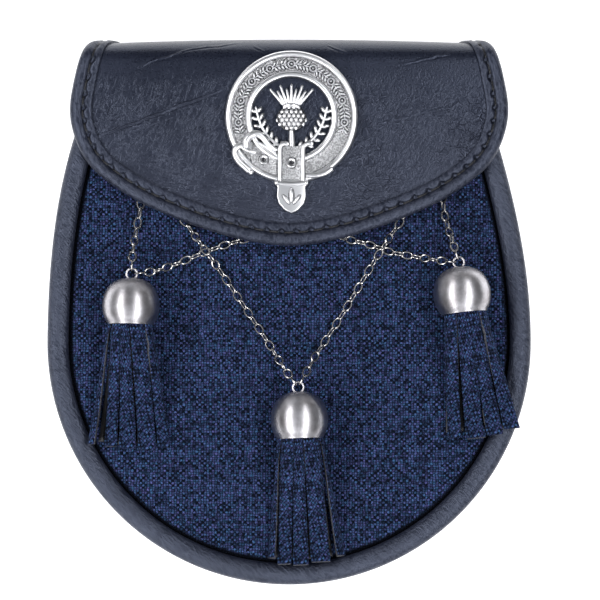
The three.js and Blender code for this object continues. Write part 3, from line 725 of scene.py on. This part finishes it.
steel, shader, spots = finish_of("chain_steel", Metallic=1.0, Roughness=0.22)
tarnish = ramp(noise(spots["Object"], 700.0, 3.0, 0.6), 0.35, 0.7)
dress(shader, Base_Color=blend_colours(tarnish, (0.62, 0.6, 0.58), (0.26, 0.25, 0.25)),
      Roughness=ramp(tarnish, 0.0, 1.0, 0.18, 0.36))
for name, made in nodes.items():
    if name == "snap" or name.startswith("staple_"):
        made.material_slots[0].material = steel


# Badge
# A pewter casting held on the flap by pins: a strap closed in a ring with a buckle, its end
# hanging down, round a thistle. Its hollows carry a black patina and its high parts are bright by
# rubbing; the darkening at the foot of each raised form is painted shade as well.

GAP = 0.3
BADGE = {"x": 0.9, "y": 72.6}
badge_z = front_z(BADGE["y"]) + FLAP["over_welt"] + FLAP["crown"] + FLAP["thickness"] / 2 + GAP
badge_frame = (Matrix.Translation((BADGE["x"], BADGE["y"], badge_z))
               @ Matrix.Rotation(-atan(TILT), 4, "X"))
badge = bmesh.new()
badge.verts.layers.float.new("hollow")


def moved(skin, matrix):
    bmesh.ops.transform(skin, matrix=matrix, verts=skin.verts)
    return skin


def join(whole, skin):
    """Adds a skin to a larger one."""
    part = mesh_of("part", skin)
    whole.from_mesh(part)
    bpy.data.meshes.remove(part)


def cast_in(skin, darkness=0.0, matrix=None):
    """Adds a skin to the badge, with how dark its hollows are: a number or a rule on a point."""
    if matrix is not None:
        moved(skin, matrix)
    layer = skin.verts.layers.float.new("hollow")
    for vert in skin.verts:
        vert[layer] = darkness(vert.co) if callable(darkness) else darkness
    join(badge, skin)


def revolved(profile, columns=128):
    """A ring round the badge's axis from a closed profile of radii and heights."""
    def rule(a, radius, height):
        return radius * cos(tau * a), radius * sin(tau * a), height
    return swept(profile, columns, rule)


def bead(x, y, z, long, wide, high, turn=0.0):
    """A rounded pellet or leaf."""
    skin = bmesh.new()
    bmesh.ops.create_uvsphere(skin, u_segments=14, v_segments=8, radius=1)
    shape = (Matrix.Translation((x, y, z)) @ Matrix.Rotation(turn, 4, "Z")
             @ Matrix.Diagonal((long, wide, high, 1)))
    return moved(skin, shape)


def bar(points, radius, taper=(1, 1), flat=0.8, sides=10, steps=28):
    """A rounded bar along a curve through the points. It ends in rounded tips."""
    curve, _ = evenly(through(points), 120)

    def place(a, b):
        at = curve(a)
        along = (curve(a + 0.01) - curve(a - 0.01)).normalized()
        across = Vector((along.y, -along.x, 0)).normalized()
        tip = min(1, sqrt(max(0, 1 - max(0, abs(a - 0.5) * 2 - 0.9) ** 2 / 0.01)))
        thick = radius * mix(taper[0], taper[1], a) * tip
        turn = tau * b
        return at + across * thick * cos(turn) + Vector((0, 0, thick * flat * sin(turn)))
    return patch(steps, sides, place, closed=True)


def plaque(outline, low, high, bevel=0.35):
    """A flat plate of that outline with its upper edge rounded."""
    skin = bmesh.new()
    face = skin.faces.new([skin.verts.new((x, y, low)) for x, y in outline])
    raised = bmesh.ops.extrude_face_region(skin, geom=[face])["geom"]
    top = [item for item in raised if isinstance(item, bmesh.types.BMVert)]
    bmesh.ops.translate(skin, vec=(0, 0, high - low), verts=top)
    upper = [edge for edge in skin.edges if all(vert in top for vert in edge.verts)]
    bmesh.ops.bevel(skin, geom=upper, offset=bevel, offset_type="OFFSET", segments=3, profile=0.5,
                    affect="EDGES", material=-1, clamp_overlap=True)
    bmesh.ops.recalc_face_normals(skin, faces=skin.faces)
    return skin


# The ring, between two thick rims
BAND = {"floor": 1.1, "middle": 19.95, "first_turn": -14, "step": 8, "motifs": 27}
ring_profile = [
    (14.9, 0), (14.9, 1.6), (15.05, 2.15), (15.5, 2.55), (16.1, 2.7), (16.7, 2.55), (17.15, 2.1),
    (17.3, 1.6), (17.35, 1.15), (17.75, 1.1), (22.1, 1.1), (22.5, 1.15), (22.55, 1.6), (22.75, 2.2),
    (23.2, 2.65), (23.75, 2.8), (24.3, 2.65), (24.75, 2.2), (24.95, 1.6), (25, 1), (25, 0),
]


def darker_low(foot, high, darkest):
    """Black at the foot of a raised form, patina and painted shade in one, and bright by rubbing from that
    height up.
    """
    return lambda co: darkest * (1 - smooth((co.z - foot) / high))


def ring_darkness(co):
    return 0.4 if co.z < BAND["floor"] + 0.03 else darker_low(BAND["floor"], 0.8, 0.95)(co)


cast_in(revolved(ring_profile), ring_darkness)


def on_band(turn, outwards, sideways, long, wide, lean):
    """A pellet or leaf on the floor of the ring, with a thin black plate round its foot: patina and a
    painted shadow line in one.
    """
    radius = BAND["middle"] + outwards
    x = radius * cos(turn) - sideways * sin(turn)
    y = radius * sin(turn) + sideways * cos(turn)
    cast_in(bead(x, y, BAND["floor"], long + 0.25, wide + 0.25, 0.08, turn + lean), 0.95)
    cast_in(bead(x, y, BAND["floor"], long, wide, 1.1, turn + lean), darker_low(BAND["floor"], 0.3, 0.5))


for motif in range(BAND["motifs"]):
    turn = radians(BAND["first_turn"] + BAND["step"] * motif)
    if motif % 3 == 1:
        middle = Matrix.Translation((BAND["middle"] * cos(turn), BAND["middle"] * sin(turn), 0))
        # The black plate round the annulet's foot is a painted shadow line.
        cast_in(bead(*middle.translation.xy, BAND["floor"], 1.85, 1.85, 0.08), 0.95)
        annulet = revolved([(0.85, 1.1), (0.95, 1.8), (1.25, 2.1), (1.5, 1.8), (1.6, 1.1)], 20)
        cast_in(annulet, darker_low(BAND["floor"], 0.5, 0.6), middle)
        on_band(turn, 0, 0, 0.42, 0.42, 0)
    else:
        for sideways in (-0.65, 0.65):
            for outwards in (-1, 1):
                on_band(turn, 1.05 * outwards, sideways, 1.2, 0.42, radians(-34 * outwards))
        on_band(turn, 0, -0.2, 0.3, 1.2, 0)


def eyelet(x, y, z, radius):
    """A raised round eye with a black plate round its foot and a black disc for its hole, both painted
    shade.
    """
    rim = revolved([(radius * 0.42, z - 0.6), (radius * 0.5, z + 0.3), (radius * 0.75, z + 0.6),
                    (radius, z + 0.25), (radius * 1.05, z - 0.3)], 24)
    cast_in(bead(x, y, z, radius + 0.3, radius + 0.3, 0.06), 0.95)
    cast_in(rim, darker_low(z - 0.1, 0.5, 0.8), Matrix.Translation((x, y, 0)))
    pit = bmesh.new()
    bmesh.ops.create_circle(pit, cap_ends=True, segments=20, radius=radius * 0.5)
    cast_in(pit, 1.0, Matrix.Translation((x, y, z + 0.08)))


def mirrored(half):
    """A whole outline from its left half, from the top to the point."""
    return half + [(-x, y) for x, y in half[::-1] if x]


# The end of the strap: raised edges, an eyelet, and a pointed tip with a spray of three leaves
TAIL_TOP = 3.0
TAIL_EDGE = 4.3
TAIL_CURLS = {
    -1: [(-0.8, -10.9), (-2.6, -10.1), (-4.1, -11.3)], 1: [(8.4, -10.6), (6.2, -10.1), (4.5, -11.5)]}
tail_outline = [(-4.6, -24.4), (4.6, -24.4), (4.6, -11.2), (-4.6, -11.2)]
cast_in(plaque(tail_outline, 0, TAIL_TOP, 0.2), 0.42)
for side in (-1, 1):
    straight = [(side * TAIL_EDGE, y) for y in (-13.5, -19, -24.6)]
    edge = [(x, y, TAIL_TOP) for x, y in TAIL_CURLS[side] + straight]
    cast_in(bar(edge, 0.9, steps=40), darker_low(TAIL_TOP, 0.35, 0.6))
eyelet(0, -17.4, TAIL_TOP, 1.95)
TIP_LEFT = [(-5.0, -23.6), (-6.1, -24.2), (-6.1, -25.7), (-5.2, -26.4), (-5.5, -30), (-4.7, -32.8),
            (-2.4, -35.2), (0, -36.3)]
cast_in(plaque(mirrored(TIP_LEFT), 0, TAIL_TOP + 0.1, 0.45), darker_low(TAIL_TOP - 0.6, 0.6, 0.5))
cast_in(bar([(-5.6, -25, 3.1), (0, -25.4, 3.3), (5.6, -25, 3.1)], 0.85, steps=20),
        darker_low(TAIL_TOP, 0.35, 0.6))
# The thin black plates under the leaves of the spray are painted shadow lines.
cast_in(bead(0, -29.6, TAIL_TOP, 1.35, 3.25, 0.25), 0.9)
cast_in(bead(0, -29.6, TAIL_TOP, 1.0, 2.9, 1.0), darker_low(TAIL_TOP, 0.5, 0.6))
for side in (-1, 1):
    lean = side * radians(38)
    cast_in(bead(side * 2.0, -31.2, TAIL_TOP, 1.0, 2.7, 0.24, -lean), 0.9)
    cast_in(bead(side * 2.0, -31.2, TAIL_TOP, 0.75, 2.4, 0.9, -lean), darker_low(TAIL_TOP, 0.45, 0.6))
    cast_in(bead(side * 5.6, -25, TAIL_TOP, 0.95, 0.95, 0.9))

# The buckle on the strap at the lower left, and the lap of the strap at the lower right
LAP = [(-15.4, -14.2), (-12.6, -9.6), (-9.5, -10.4), (-4.8, -13.6), (-4.8, -23.2), (-9.2, -22.4),
       (-14.2, -19.4)]
cast_in(plaque(LAP, 0, 2.0, 0.2), 0.42)
cast_in(bar([(-13.2, -9.4, 2.3), (-9.2, -11.4, 2.3), (-4.8, -15, 2.3)], 0.6, steps=24),
        darker_low(1.9, 0.5, 0.6))
cast_in(bar([(-16.7, -12.2, 2.7), (-16.9, -9.3, 3.0), (-15.0, -7.0, 3.1), (-12.6, -6.6, 3.1),
             (-10.4, -8.3, 3.0), (-8.4, -10.8, 2.9), (-6.2, -12.4, 2.7)], 1.4, (1.1, 0.65), steps=48))
cast_in(bar([(-16.2, -11.2, 2.7), (-19.4, -11.0, 2.8), (-21.2, -13.2, 2.8), (-20, -16.4, 2.7),
             (-17.4, -18.9, 2.6), (-15.2, -20.8, 2.5)], 1.4, (0.85, 0.95), steps=48))
cast_in(bead(-15.2, -20.9, 2.4, 1.1, 1.1, 1.0))
cast_in(bead(-6.0, -12.4, 2.6, 0.95, 0.95, 0.9))
cast_in(bar([(-18.4, -11.6, 3.1), (-15.8, -13.0, 3.3), (-13.2, -13.8, 2.9)], 0.6, steps=20))
eyelet(-10.4, -16.2, 2.0, 1.8)
cast_in(bar([(5.2, -21.9, 2.7), (9, -22.1, 2.8), (12.7, -21.1, 2.8), (15.4, -19.3, 2.5)], 1.25,
            (0.8, 1.0), steps=28))

# The thistle: a scaled head, a collar, a tuft, a stalk and two lobed leaves that reach the ring
HEAD = {"y": -0.6, "wide": 5.7, "tall": 4.9, "high": 2.6, "z": 1.9}
# The head under the scales is dark, so the gaps between the scales show patina and painted shade.
cast_in(bead(0, HEAD["y"], HEAD["z"], HEAD["wide"], HEAD["tall"], HEAD["high"]), 0.8)
for row in range(6):
    for column in range(-3, 4):
        x, y = (column + 0.5 * (row % 2)) * 1.75, HEAD["y"] + (row - 2.5) * 1.5
        spare = 1 - (x / (HEAD["wide"] - 0.3)) ** 2 - ((y - HEAD["y"]) / (HEAD["tall"] - 0.3)) ** 2
        if spare > 0.02:
            top = HEAD["z"] + HEAD["high"] * sqrt(spare)
            cast_in(bead(x, y, top - 0.15, 0.7, 0.85, 0.55))
cast_in(bar([(-3.5, 3.6, 2.2), (0, 4.2, 3.3), (3.5, 3.6, 2.2)], 0.75, steps=18), darker_low(2.2, 0.5, 0.4))
for step in range(9):
    lean = radians(90 - (step - 4) * 10)
    reach = 8.4 if step % 2 == 0 else 6.6
    foot = Vector((0.72 * (step - 4), 4.2, 2.1))
    tip = foot + Vector((cos(lean), sin(lean), 0)) * reach
    cast_in(bar([foot, foot.lerp(tip, 0.5) + Vector((0, 0, 0.5)), tip], 0.66, (0.85, 0.7), steps=14),
            darker_low(1.7, 0.7, 0.5))
cast_in(bar([(0, -14.6, 1.9), (0.1, -10, 1.9), (0, -5, 1.9)], 1.15, (1.2, 0.9)), darker_low(1.4, 0.6, 0.5))
MIDRIB = [(0.6, -12), (5.2, -10.6), (9.4, -6.6), (12, -1.6), (13.4, 4.2)]
for side in (-1, 1):
    midrib, _ = evenly(through([(side * x, y, 1.5) for x, y in MIDRIB]), 120)
    cast_in(bar([midrib(step / 8) + Vector((0, 0, 0.5)) for step in range(9)], 0.5, (1.4, 0.8), steps=36))
    for lobe in range(7):
        share = 0.1 + 0.13 * lobe
        ahead = (midrib(share + 0.01) - midrib(share - 0.01)).normalized()
        heading = atan2(ahead.y, ahead.x)
        long = mix(1.3, 1.75, sin(pi * share))
        for turn in (-1, 1):
            leans = heading + turn * radians(52)
            middle = midrib(share) + Vector((cos(leans), sin(leans), 0)) * long * 0.95
            cast_in(bead(middle.x, middle.y, 1.3, long, 0.72, 0.9, leans), darker_low(1.5, 0.5, 0.65))

pewter, shader, spots = finish_of("antique_pewter", Metallic=1.0, Roughness=0.34)
# The hollow attribute darkens the pewter: patina in the hollows, and painted shade at the foot of raised
# forms and in the thin black plates.
patina_and_shade = painted(shader, "hollow")
pebbles = noise(spots["Object"], 1500.0)
speckles = times(ramp(pebbles, 0.4, 0.6, 0.25, -0.25), maths("GREATER_THAN", patina_and_shade, 0.3))
speckled = maths("ADD", patina_and_shade, speckles, clamp=True)
dress(shader, Base_Color=blend_colours(speckled, (0.82, 0.82, 0.84), (0.03, 0.03, 0.036)),
      Roughness=ramp(speckled, 0.0, 1.0, 0.3, 0.55))
bump(shader, times(pebbles, ramp(patina_and_shade, 0.2, 0.5, 0.15, 1.0)), 0.00016)
piece("badge_casting", moved(badge, badge_frame), [pewter], ["badge"])


# Tassel domes
# Each tassel hangs in a hollow bell of spun pewter, brushed round its axis, with a small ring
# of wire let into its top for the chains.

DOME = {"radius": 10.7, "height": 17.4}
DOME_HALF = DOME["height"] / 2
RING = {"radius": 2, "wire": 0.4, "reach": 1.6}
RING_Y = DOME_HALF + RING["reach"]
TASSELS = {"left": (-58.9, 3.6, -1.5), "centre": (3.8, -38.7, 2), "right": (64.4, 7.9, 6)}
DOME_OUTER = [(0, 17.4), (2.4, 17.3), (4.6, 16.8), (6.6, 15.8), (8.3, 14.3), (9.6, 12.3), (10.4, 9.9),
              (10.7, 7.3), (10.5, 4.8), (9.8, 2.4), (8.7, 0.5), (8.5, 0)]
DOME_INNER = [(7.6, 0), (7.9, 0.6), (8.9, 3.2), (9.5, 7), (9, 10.2), (6.6, 13.8), (0, 16.2)]

tassel_frames = {}
for side, (x, y, swing) in TASSELS.items():
    tassel_frames[side] = (Matrix.Translation((x, y, panel_top(x, y) + GAP + DOME["radius"] + 0.1))
                           @ Matrix.Rotation(-atan(TILT), 4, "X")
                           @ Matrix.Rotation(radians(swing), 4, "Z"))


def wire_loop(length, width, wire, stations=24, sides=8, uv_size=(0.01, 0.002)):
    """An oval of round wire in the plane of x and y, its length along y."""
    a, b = length / 2 - wire, width / 2 - wire

    def place(s, t):
        angle, turn = tau * s, tau * t
        out = Vector((sin(angle) * a, cos(angle) * b, 0)).normalized()
        centre = Vector((b * sin(angle), a * cos(angle), 0))
        return centre + out * wire * cos(turn) + Vector((0, 0, wire * sin(turn)))
    return patch(stations, sides, place, uv_size, closed=True)


brushed, shader, spots = finish_of(
    "brushed_pewter", Metallic=1.0, Roughness=0.3, Anisotropic=0.6, Anisotropic_Rotation=0.25)
tree = shader.id_data
lathe_lines = shader_node(tree, "Mapping", {"Vector": spots["UV"], "Scale": (60.0, 5000.0, 1.0)})
brush_marks = noise(lathe_lines.outputs[0], 1.0)
smears = ramp(noise(spots["Object"], 170.0, 4.0, 0.65), 0.35, 0.7)
round_the_axis = shader_node(tree, "Tangent", direction_type="UV_MAP", uv_map="UVMap")
dress(shader, Base_Color=blend_colours(smears, (0.58, 0.57, 0.6), (0.34, 0.32, 0.33)),
      Roughness=ramp(brush_marks, 0.3, 0.7, 0.34, 0.46), Tangent=round_the_axis.outputs[0])
bump(shader, brush_marks, 0.00002, 0.6)
outer_curve, inner_curve = through(DOME_OUTER), through(DOME_INNER)


def dome_place(a, b):
    """Down the outside for the first 1 / 1.6 of b, and then up the inside."""
    turn = tau * a
    share = b * 1.6
    radius, height = outer_curve(share) if share <= 1 else inner_curve((share - 1) / 0.6)
    return radius * cos(turn), height - DOME_HALF, radius * sin(turn)


for side, placed in tassel_frames.items():
    dome = patch(72, 64, dome_place, uv_size=(0.067, 0.05))
    bmesh.ops.recalc_face_normals(dome, faces=dome.faces)
    across = 2 * (RING["radius"] + RING["wire"])
    loop = wire_loop(across, across, RING["wire"])
    bmesh.ops.translate(loop, vec=(0, RING_Y, 0), verts=loop.verts)
    join(dome, loop)
    piece("dome_shell_" + side, moved(dome, placed), [brushed], ["dome_" + side])


# Tassel fringes
# Strips cut from tweed on black leather are rolled up, glued to a plug and pushed into the dome.
# They fan out as they lie, with grey cut edges, and those behind show their black backs.

FRINGE = {"plug": 6.5, "plug_long": 9, "plug_at": 5.2, "bundle": 6.4, "thickness": 0.9, "above_lip": 2.0,
          "curl": 0.75}

# Each strip's left and right edge in the dome and at its end, its length, turn in degrees and lift
STRIPS = {
    "left": [
        ((-7.4, -6.2), (-14.6, -12.2), 44.8, 64, 0),
        ((-6.0, -3.2), (-8.6, -4.2), 45.4, 9, 2.4),
        ((-3.2, -0.6), (-3.1, 3.0), 46.0, -5, 3.0),
        ((-0.1, 5.2), (4.2, 10.6), 46.5, 4, 2.2),
        ((5.2, 7.2), (11.4, 15.6), 45.2, -9, 1.2),
    ],
    "centre": [
        ((-7.3, -6.3), (-13.2, -10.8), 44.0, 62, 0),
        ((-6.1, -2.0), (-9.9, -5.0), 46.4, 5, 2.2),
        ((-2.0, 0.9), (-4.1, 1.5), 46.9, -4, 3.0),
        ((1.1, 6.4), (2.7, 9.7), 46.0, 4, 2.4),
        ((6.4, 7.3), (12.2, 15.0), 44.0, -60, 0),
    ],
    "right": [
        ((-7.0, -3.0), (-10.4, -5.7), 45.8, 22, 1.2),
        ((-3.0, 1.4), (-3.9, 3.2), 46.8, -4, 3.2),
        ((1.4, 4.7), (3.9, 9.7), 46.2, -2, 2.6),
        ((4.7, 7.1), (10.5, 16.2), 44.6, -10, 1.2),
    ],
}
UNDER_STRIPS = [
    ((-5.5, -1.0), (-11.0, -4.4), 43.5, 3, 0.2),
    ((-2.2, 2.2), (-3.9, 2.9), 44.5, 0, 0.5),
    ((1.0, 5.5), (3.4, 10.6), 43.8, -3, 0.2),
]
WELT_SLOPE = 4.2
strip_tweed = tweed("strip_tweed", "UV", 38)
strip_backing, shader, spots = finish_of("strip_backing", Roughness=0.5)
nap = noise(spots["Object"], 900.0)
dress(shader, Base_Color=blend_colours(nap, (0.003, 0.003, 0.004), (0.01, 0.01, 0.013)))
bump(shader, nap, 0.0001)
cut_edge, shader, spots = finish_of("cut_edge", Roughness=0.7)
layers = noise(spots["Object"], 1500.0)
edge_tone = ramp(layers, 0.35, 0.7)
dress(shader, Base_Color=blend_colours(edge_tone, (0.008, 0.009, 0.013), (0.06, 0.062, 0.08)))
bump(shader, layers, 0.0001)


def resting_z(x, y):
    clear_of_welt = smooth((inset_of(x, y) - PANEL["inset"] + 1) / WELT_SLOPE)
    return mix(front_z(y) + WELT["half_height"] + GAP, panel_top(x, y), clear_of_welt)


def strip_skin(strip, placed, facing):
    """One strip, from inside the dome to its end. It faces up (1) or down (-1)."""
    in_dome, at_end, long, turned, lift = strip
    lifted = placed.inverted()
    wide = (at_end[1] - at_end[0]) / cos(radians(turned))

    def floor_at(x, y):
        below = placed @ Vector((x, y, 0))
        return (lifted @ Vector((below.x, below.y, resting_z(below.x, below.y)))).z

    def place(a, b):
        t = 1 - b
        spread = smooth(t * 1.15)
        y = FRINGE["above_lip"] - DOME_HALF - t * (long + FRINGE["above_lip"])
        left, right = (mix(top, low, t ** 0.92) for top, low in zip(in_dome, at_end))
        x = (left + right) / 2
        leaving = asin(max(-1, min(1, x / (FRINGE["bundle"] + 1.2))))
        roll = mix(-leaving * facing, radians(turned), spread)
        half = (right - left) / 2 / max(0.3, cos(roll))
        if abs(turned) >= 40:
            half = wide / 2 * mix(0.4, 1, t)
        across = Vector((cos(roll), 0, sin(roll))) * half
        up = Vector((-sin(roll), 0, cos(roll)))
        floor = max(floor_at(x + side * (abs(across.x) + 0.6), y) for side in (-1, 0, 1))
        lying = floor + GAP + lift + abs(across.z) + FRINGE["thickness"] / 2
        z = mix(facing * FRINGE["bundle"] * cos(leaving), lying, spread)
        u = 2 * a - 1
        return Vector((x, y, z)) + across * u + up * FRINGE["curl"] * (1 - u * u) * facing
    skin = patch(6, 26, place, uv_size=(wide * MM, long * MM))
    if facing < 0:
        bmesh.ops.reverse_faces(skin, faces=skin.faces)
    return skin


for side, placed in tassel_frames.items():
    fringe = bmesh.new()
    for facing, strips in ((1, STRIPS[side]), (-1, UNDER_STRIPS)):
        for strip in strips:
            join(fringe, strip_skin(strip, placed, facing))
    made = piece("fringe_" + side, moved(fringe, placed), [strip_tweed, strip_backing, cut_edge],
                 ["tassel_" + side])
    backing = thicken(made, "backing", FRINGE["thickness"], 0)
    backing.material_offset = 1
    backing.material_offset_rim = 2
    plug = bmesh.new()
    bmesh.ops.create_cone(plug, cap_ends=True, segments=24, radius1=FRINGE["plug"],
                          radius2=FRINGE["plug"], depth=FRINGE["plug_long"])
    upright = (placed @ Matrix.Translation((0, FRINGE["plug_at"] - DOME_HALF, 0))
               @ Matrix.Rotation(pi / 2, 4, "X"))
    piece("plug_" + side, moved(plug, upright), [strip_tweed])


# Chains
# Fine cable chain of round steel wire, in six strands from staples under the flap to the rings
# on the domes. Each link is turned a quarter from the next, and two strands cross over others.

LINK = {"width": 3.35, "wire": 0.34, "pitch": 3.8, "bite": 0.12, "play": 0.2, "lean": 24, "flat": 0.809}
STAPLE_WIRE = 0.4
LIE = GAP + LINK["width"] / 2 + 0.05
CLIMB = 20
CROSSING = {"lift": LINK["width"] + GAP, "reach": 5.8}
STRANDS = [
    ("left_short", "left", None, [(-55.7, 45.5), (-56, 38), (-57.4, 30.8), (-58.4, 22)]),
    ("left_long", "left", None,
     [(-4.4, 31), (-18.6, 26.4), (-25.9, 24.2), (-33.5, 21.3), (-42, 17.8), (-50.5, 14.9)]),
    ("left_cross", "centre", (-30.9, 22.7),
     [(-46.4, 43.6), (-37.7, 31.4), (-25.7, 14.7), (-12, -5.6), (-2.4, -20.4)]),
    ("right_cross", "centre", (34.6, 23.4),
     [(48.9, 43.6), (42.4, 34.3), (35.6, 24.4), (28.8, 13.4), (19.9, -1.4), (9.2, -18)]),
    ("right_long", "right", None,
     [(4.6, 31), (22.5, 26.8), (31.8, 24.4), (38.7, 22), (49.4, 20), (57, 18.8)]),
    ("right_short", "right", None, [(57.6, 47.4), (58, 39.5), (59.1, 33.4), (60.9, 26.6)]),
]


def strand_curve(dome, over, route):
    ring = tassel_frames[dome] @ Vector((0, RING_Y, 0))
    plan, total = evenly(through([(x, y, 0) for x, y in route] + [(ring.x, ring.y, 0)]))
    points = []
    for i in range(41):
        p = plan(i / 40)
        rise = smooth(1 - total * (1 - i / 40) / CLIMB)
        p.z = mix(panel_top(p.x, p.y) + LIE, ring.z, rise)
        if over:
            away = hypot(p.x - over[0], p.y - over[1])
            p.z += CROSSING["lift"] * exp(-(away / CROSSING["reach"]) ** 4)
        points.append(p)
    return evenly(through(points))


def hooked(wire):
    return wire + LINK["wire"] + LINK["play"]


for name, dome, over, route in STRANDS:
    curve, length = strand_curve(dome, over, route)
    within = 2 * LINK["wire"] * (1 + LINK["flat"]) - LINK["bite"]
    spare = hooked(STAPLE_WIRE) + hooked(RING["wire"]) + 2 * LINK["wire"] - within
    span = length - RING["radius"] + spare
    steps = 2 * round((span / LINK["pitch"] - 1) / 2)
    pitch = span / (steps + 1)
    outer = pitch + within
    first = outer / 2 - LINK["wire"] - hooked(STAPLE_WIRE)
    link = mesh_of("link", wire_loop(outer, LINK["width"], LINK["wire"]))
    strand = bmesh.new()
    for i in range(steps + 1):
        centre = curve((first + i * pitch) / length)
        ahead = curve((first + min(i + 0.5, steps) * pitch) / length)
        behind = curve((first + max(i - 0.5, 0) * pitch) / length)
        along = (ahead - behind).normalized()
        across = along.cross(Vector((0, 0, 1))).normalized()
        up = across.cross(along)
        basis = Matrix((across, along, up)).transposed().to_4x4()
        lean = LINK["lean"] * sin(pi * i / steps) ** 0.5
        roll = radians((0 if i % 2 else 90) - lean)
        before = len(strand.verts)
        strand.from_mesh(link)
        strand.verts.ensure_lookup_table()
        turned = Matrix.Translation(centre) @ basis @ Matrix.Rotation(roll, 4, "Y")
        bmesh.ops.transform(strand, matrix=turned, verts=strand.verts[before:])
    piece("links_" + name, strand, [steel], ["chain_" + name])


# Floor, light and camera
# A pale studio floor, two long soft boxes to the left and right, a weak one before the pouch,
# and a camera that looks straight down. The room is dimmer at the sides and beyond the fold.

floor_skin = bmesh.new()
bmesh.ops.create_grid(floor_skin, x_segments=1, y_segments=1, size=4)
floor = object_of("floor", mesh_of("floor", floor_skin))
floor.data.materials.append(finish_of(
    "pale_floor", Base_Color=(0.86, 0.86, 0.87, 1), Roughness=0.9, Emission_Color=(1, 1, 1, 1),
    Emission_Strength=0.58)[0])

world = bpy.data.worlds.new("studio")
world.use_nodes = True
sky = world.node_tree
ceiling = sky.nodes["Background"]
heading = parts_of(sky.nodes.new("ShaderNodeTexCoord").outputs["Generated"])
sideways = ramp(maths("ABSOLUTE", heading["X"]), 0.45, 0.9, 1.0, 0.22)
beyond_fold = ramp(heading["Y"], 0.1, 0.65, 0.42, 0.12)
fill(ceiling.inputs["Color"], (0.9, 0.94, 1.0, 1))
fill(ceiling.inputs["Strength"], times(sideways, beyond_fold))
bpy.context.scene.world = world


def soft_box(name, place, aim, width, height, power):
    light = bpy.data.lights.new(name, "AREA")
    light.shape = "RECTANGLE"
    light.size, light.size_y, light.energy = width, height, power
    lamp = object_of(name, light)
    lamp.location = place
    lamp.rotation_euler = (Vector(aim) - Vector(place)).to_track_quat("-Z", "Y").to_euler()


soft_box("left_box", (-0.87, -0.35, 1.0), (0, -0.35, 0), 2.6, 0.38, 21)
soft_box("right_box", (0.6, -0.35, 1.15), (0, -0.35, 0), 2.6, 0.3, 17)
soft_box("near_box", (0, -1.0, 1.05), (0, 0, 0), 1.6, 0.22, 3)

VIEW_OFFSET = 4.1 * MM
camera = bpy.data.cameras.new("camera")
camera.lens = 203
camera.sensor_width = 36
viewer = object_of("camera", camera)
viewer.location = (VIEW_OFFSET, VIEW_OFFSET, 1.30)
bpy.context.scene.camera = viewer
bpy.context.scene.view_settings.view_transform = "Standard"
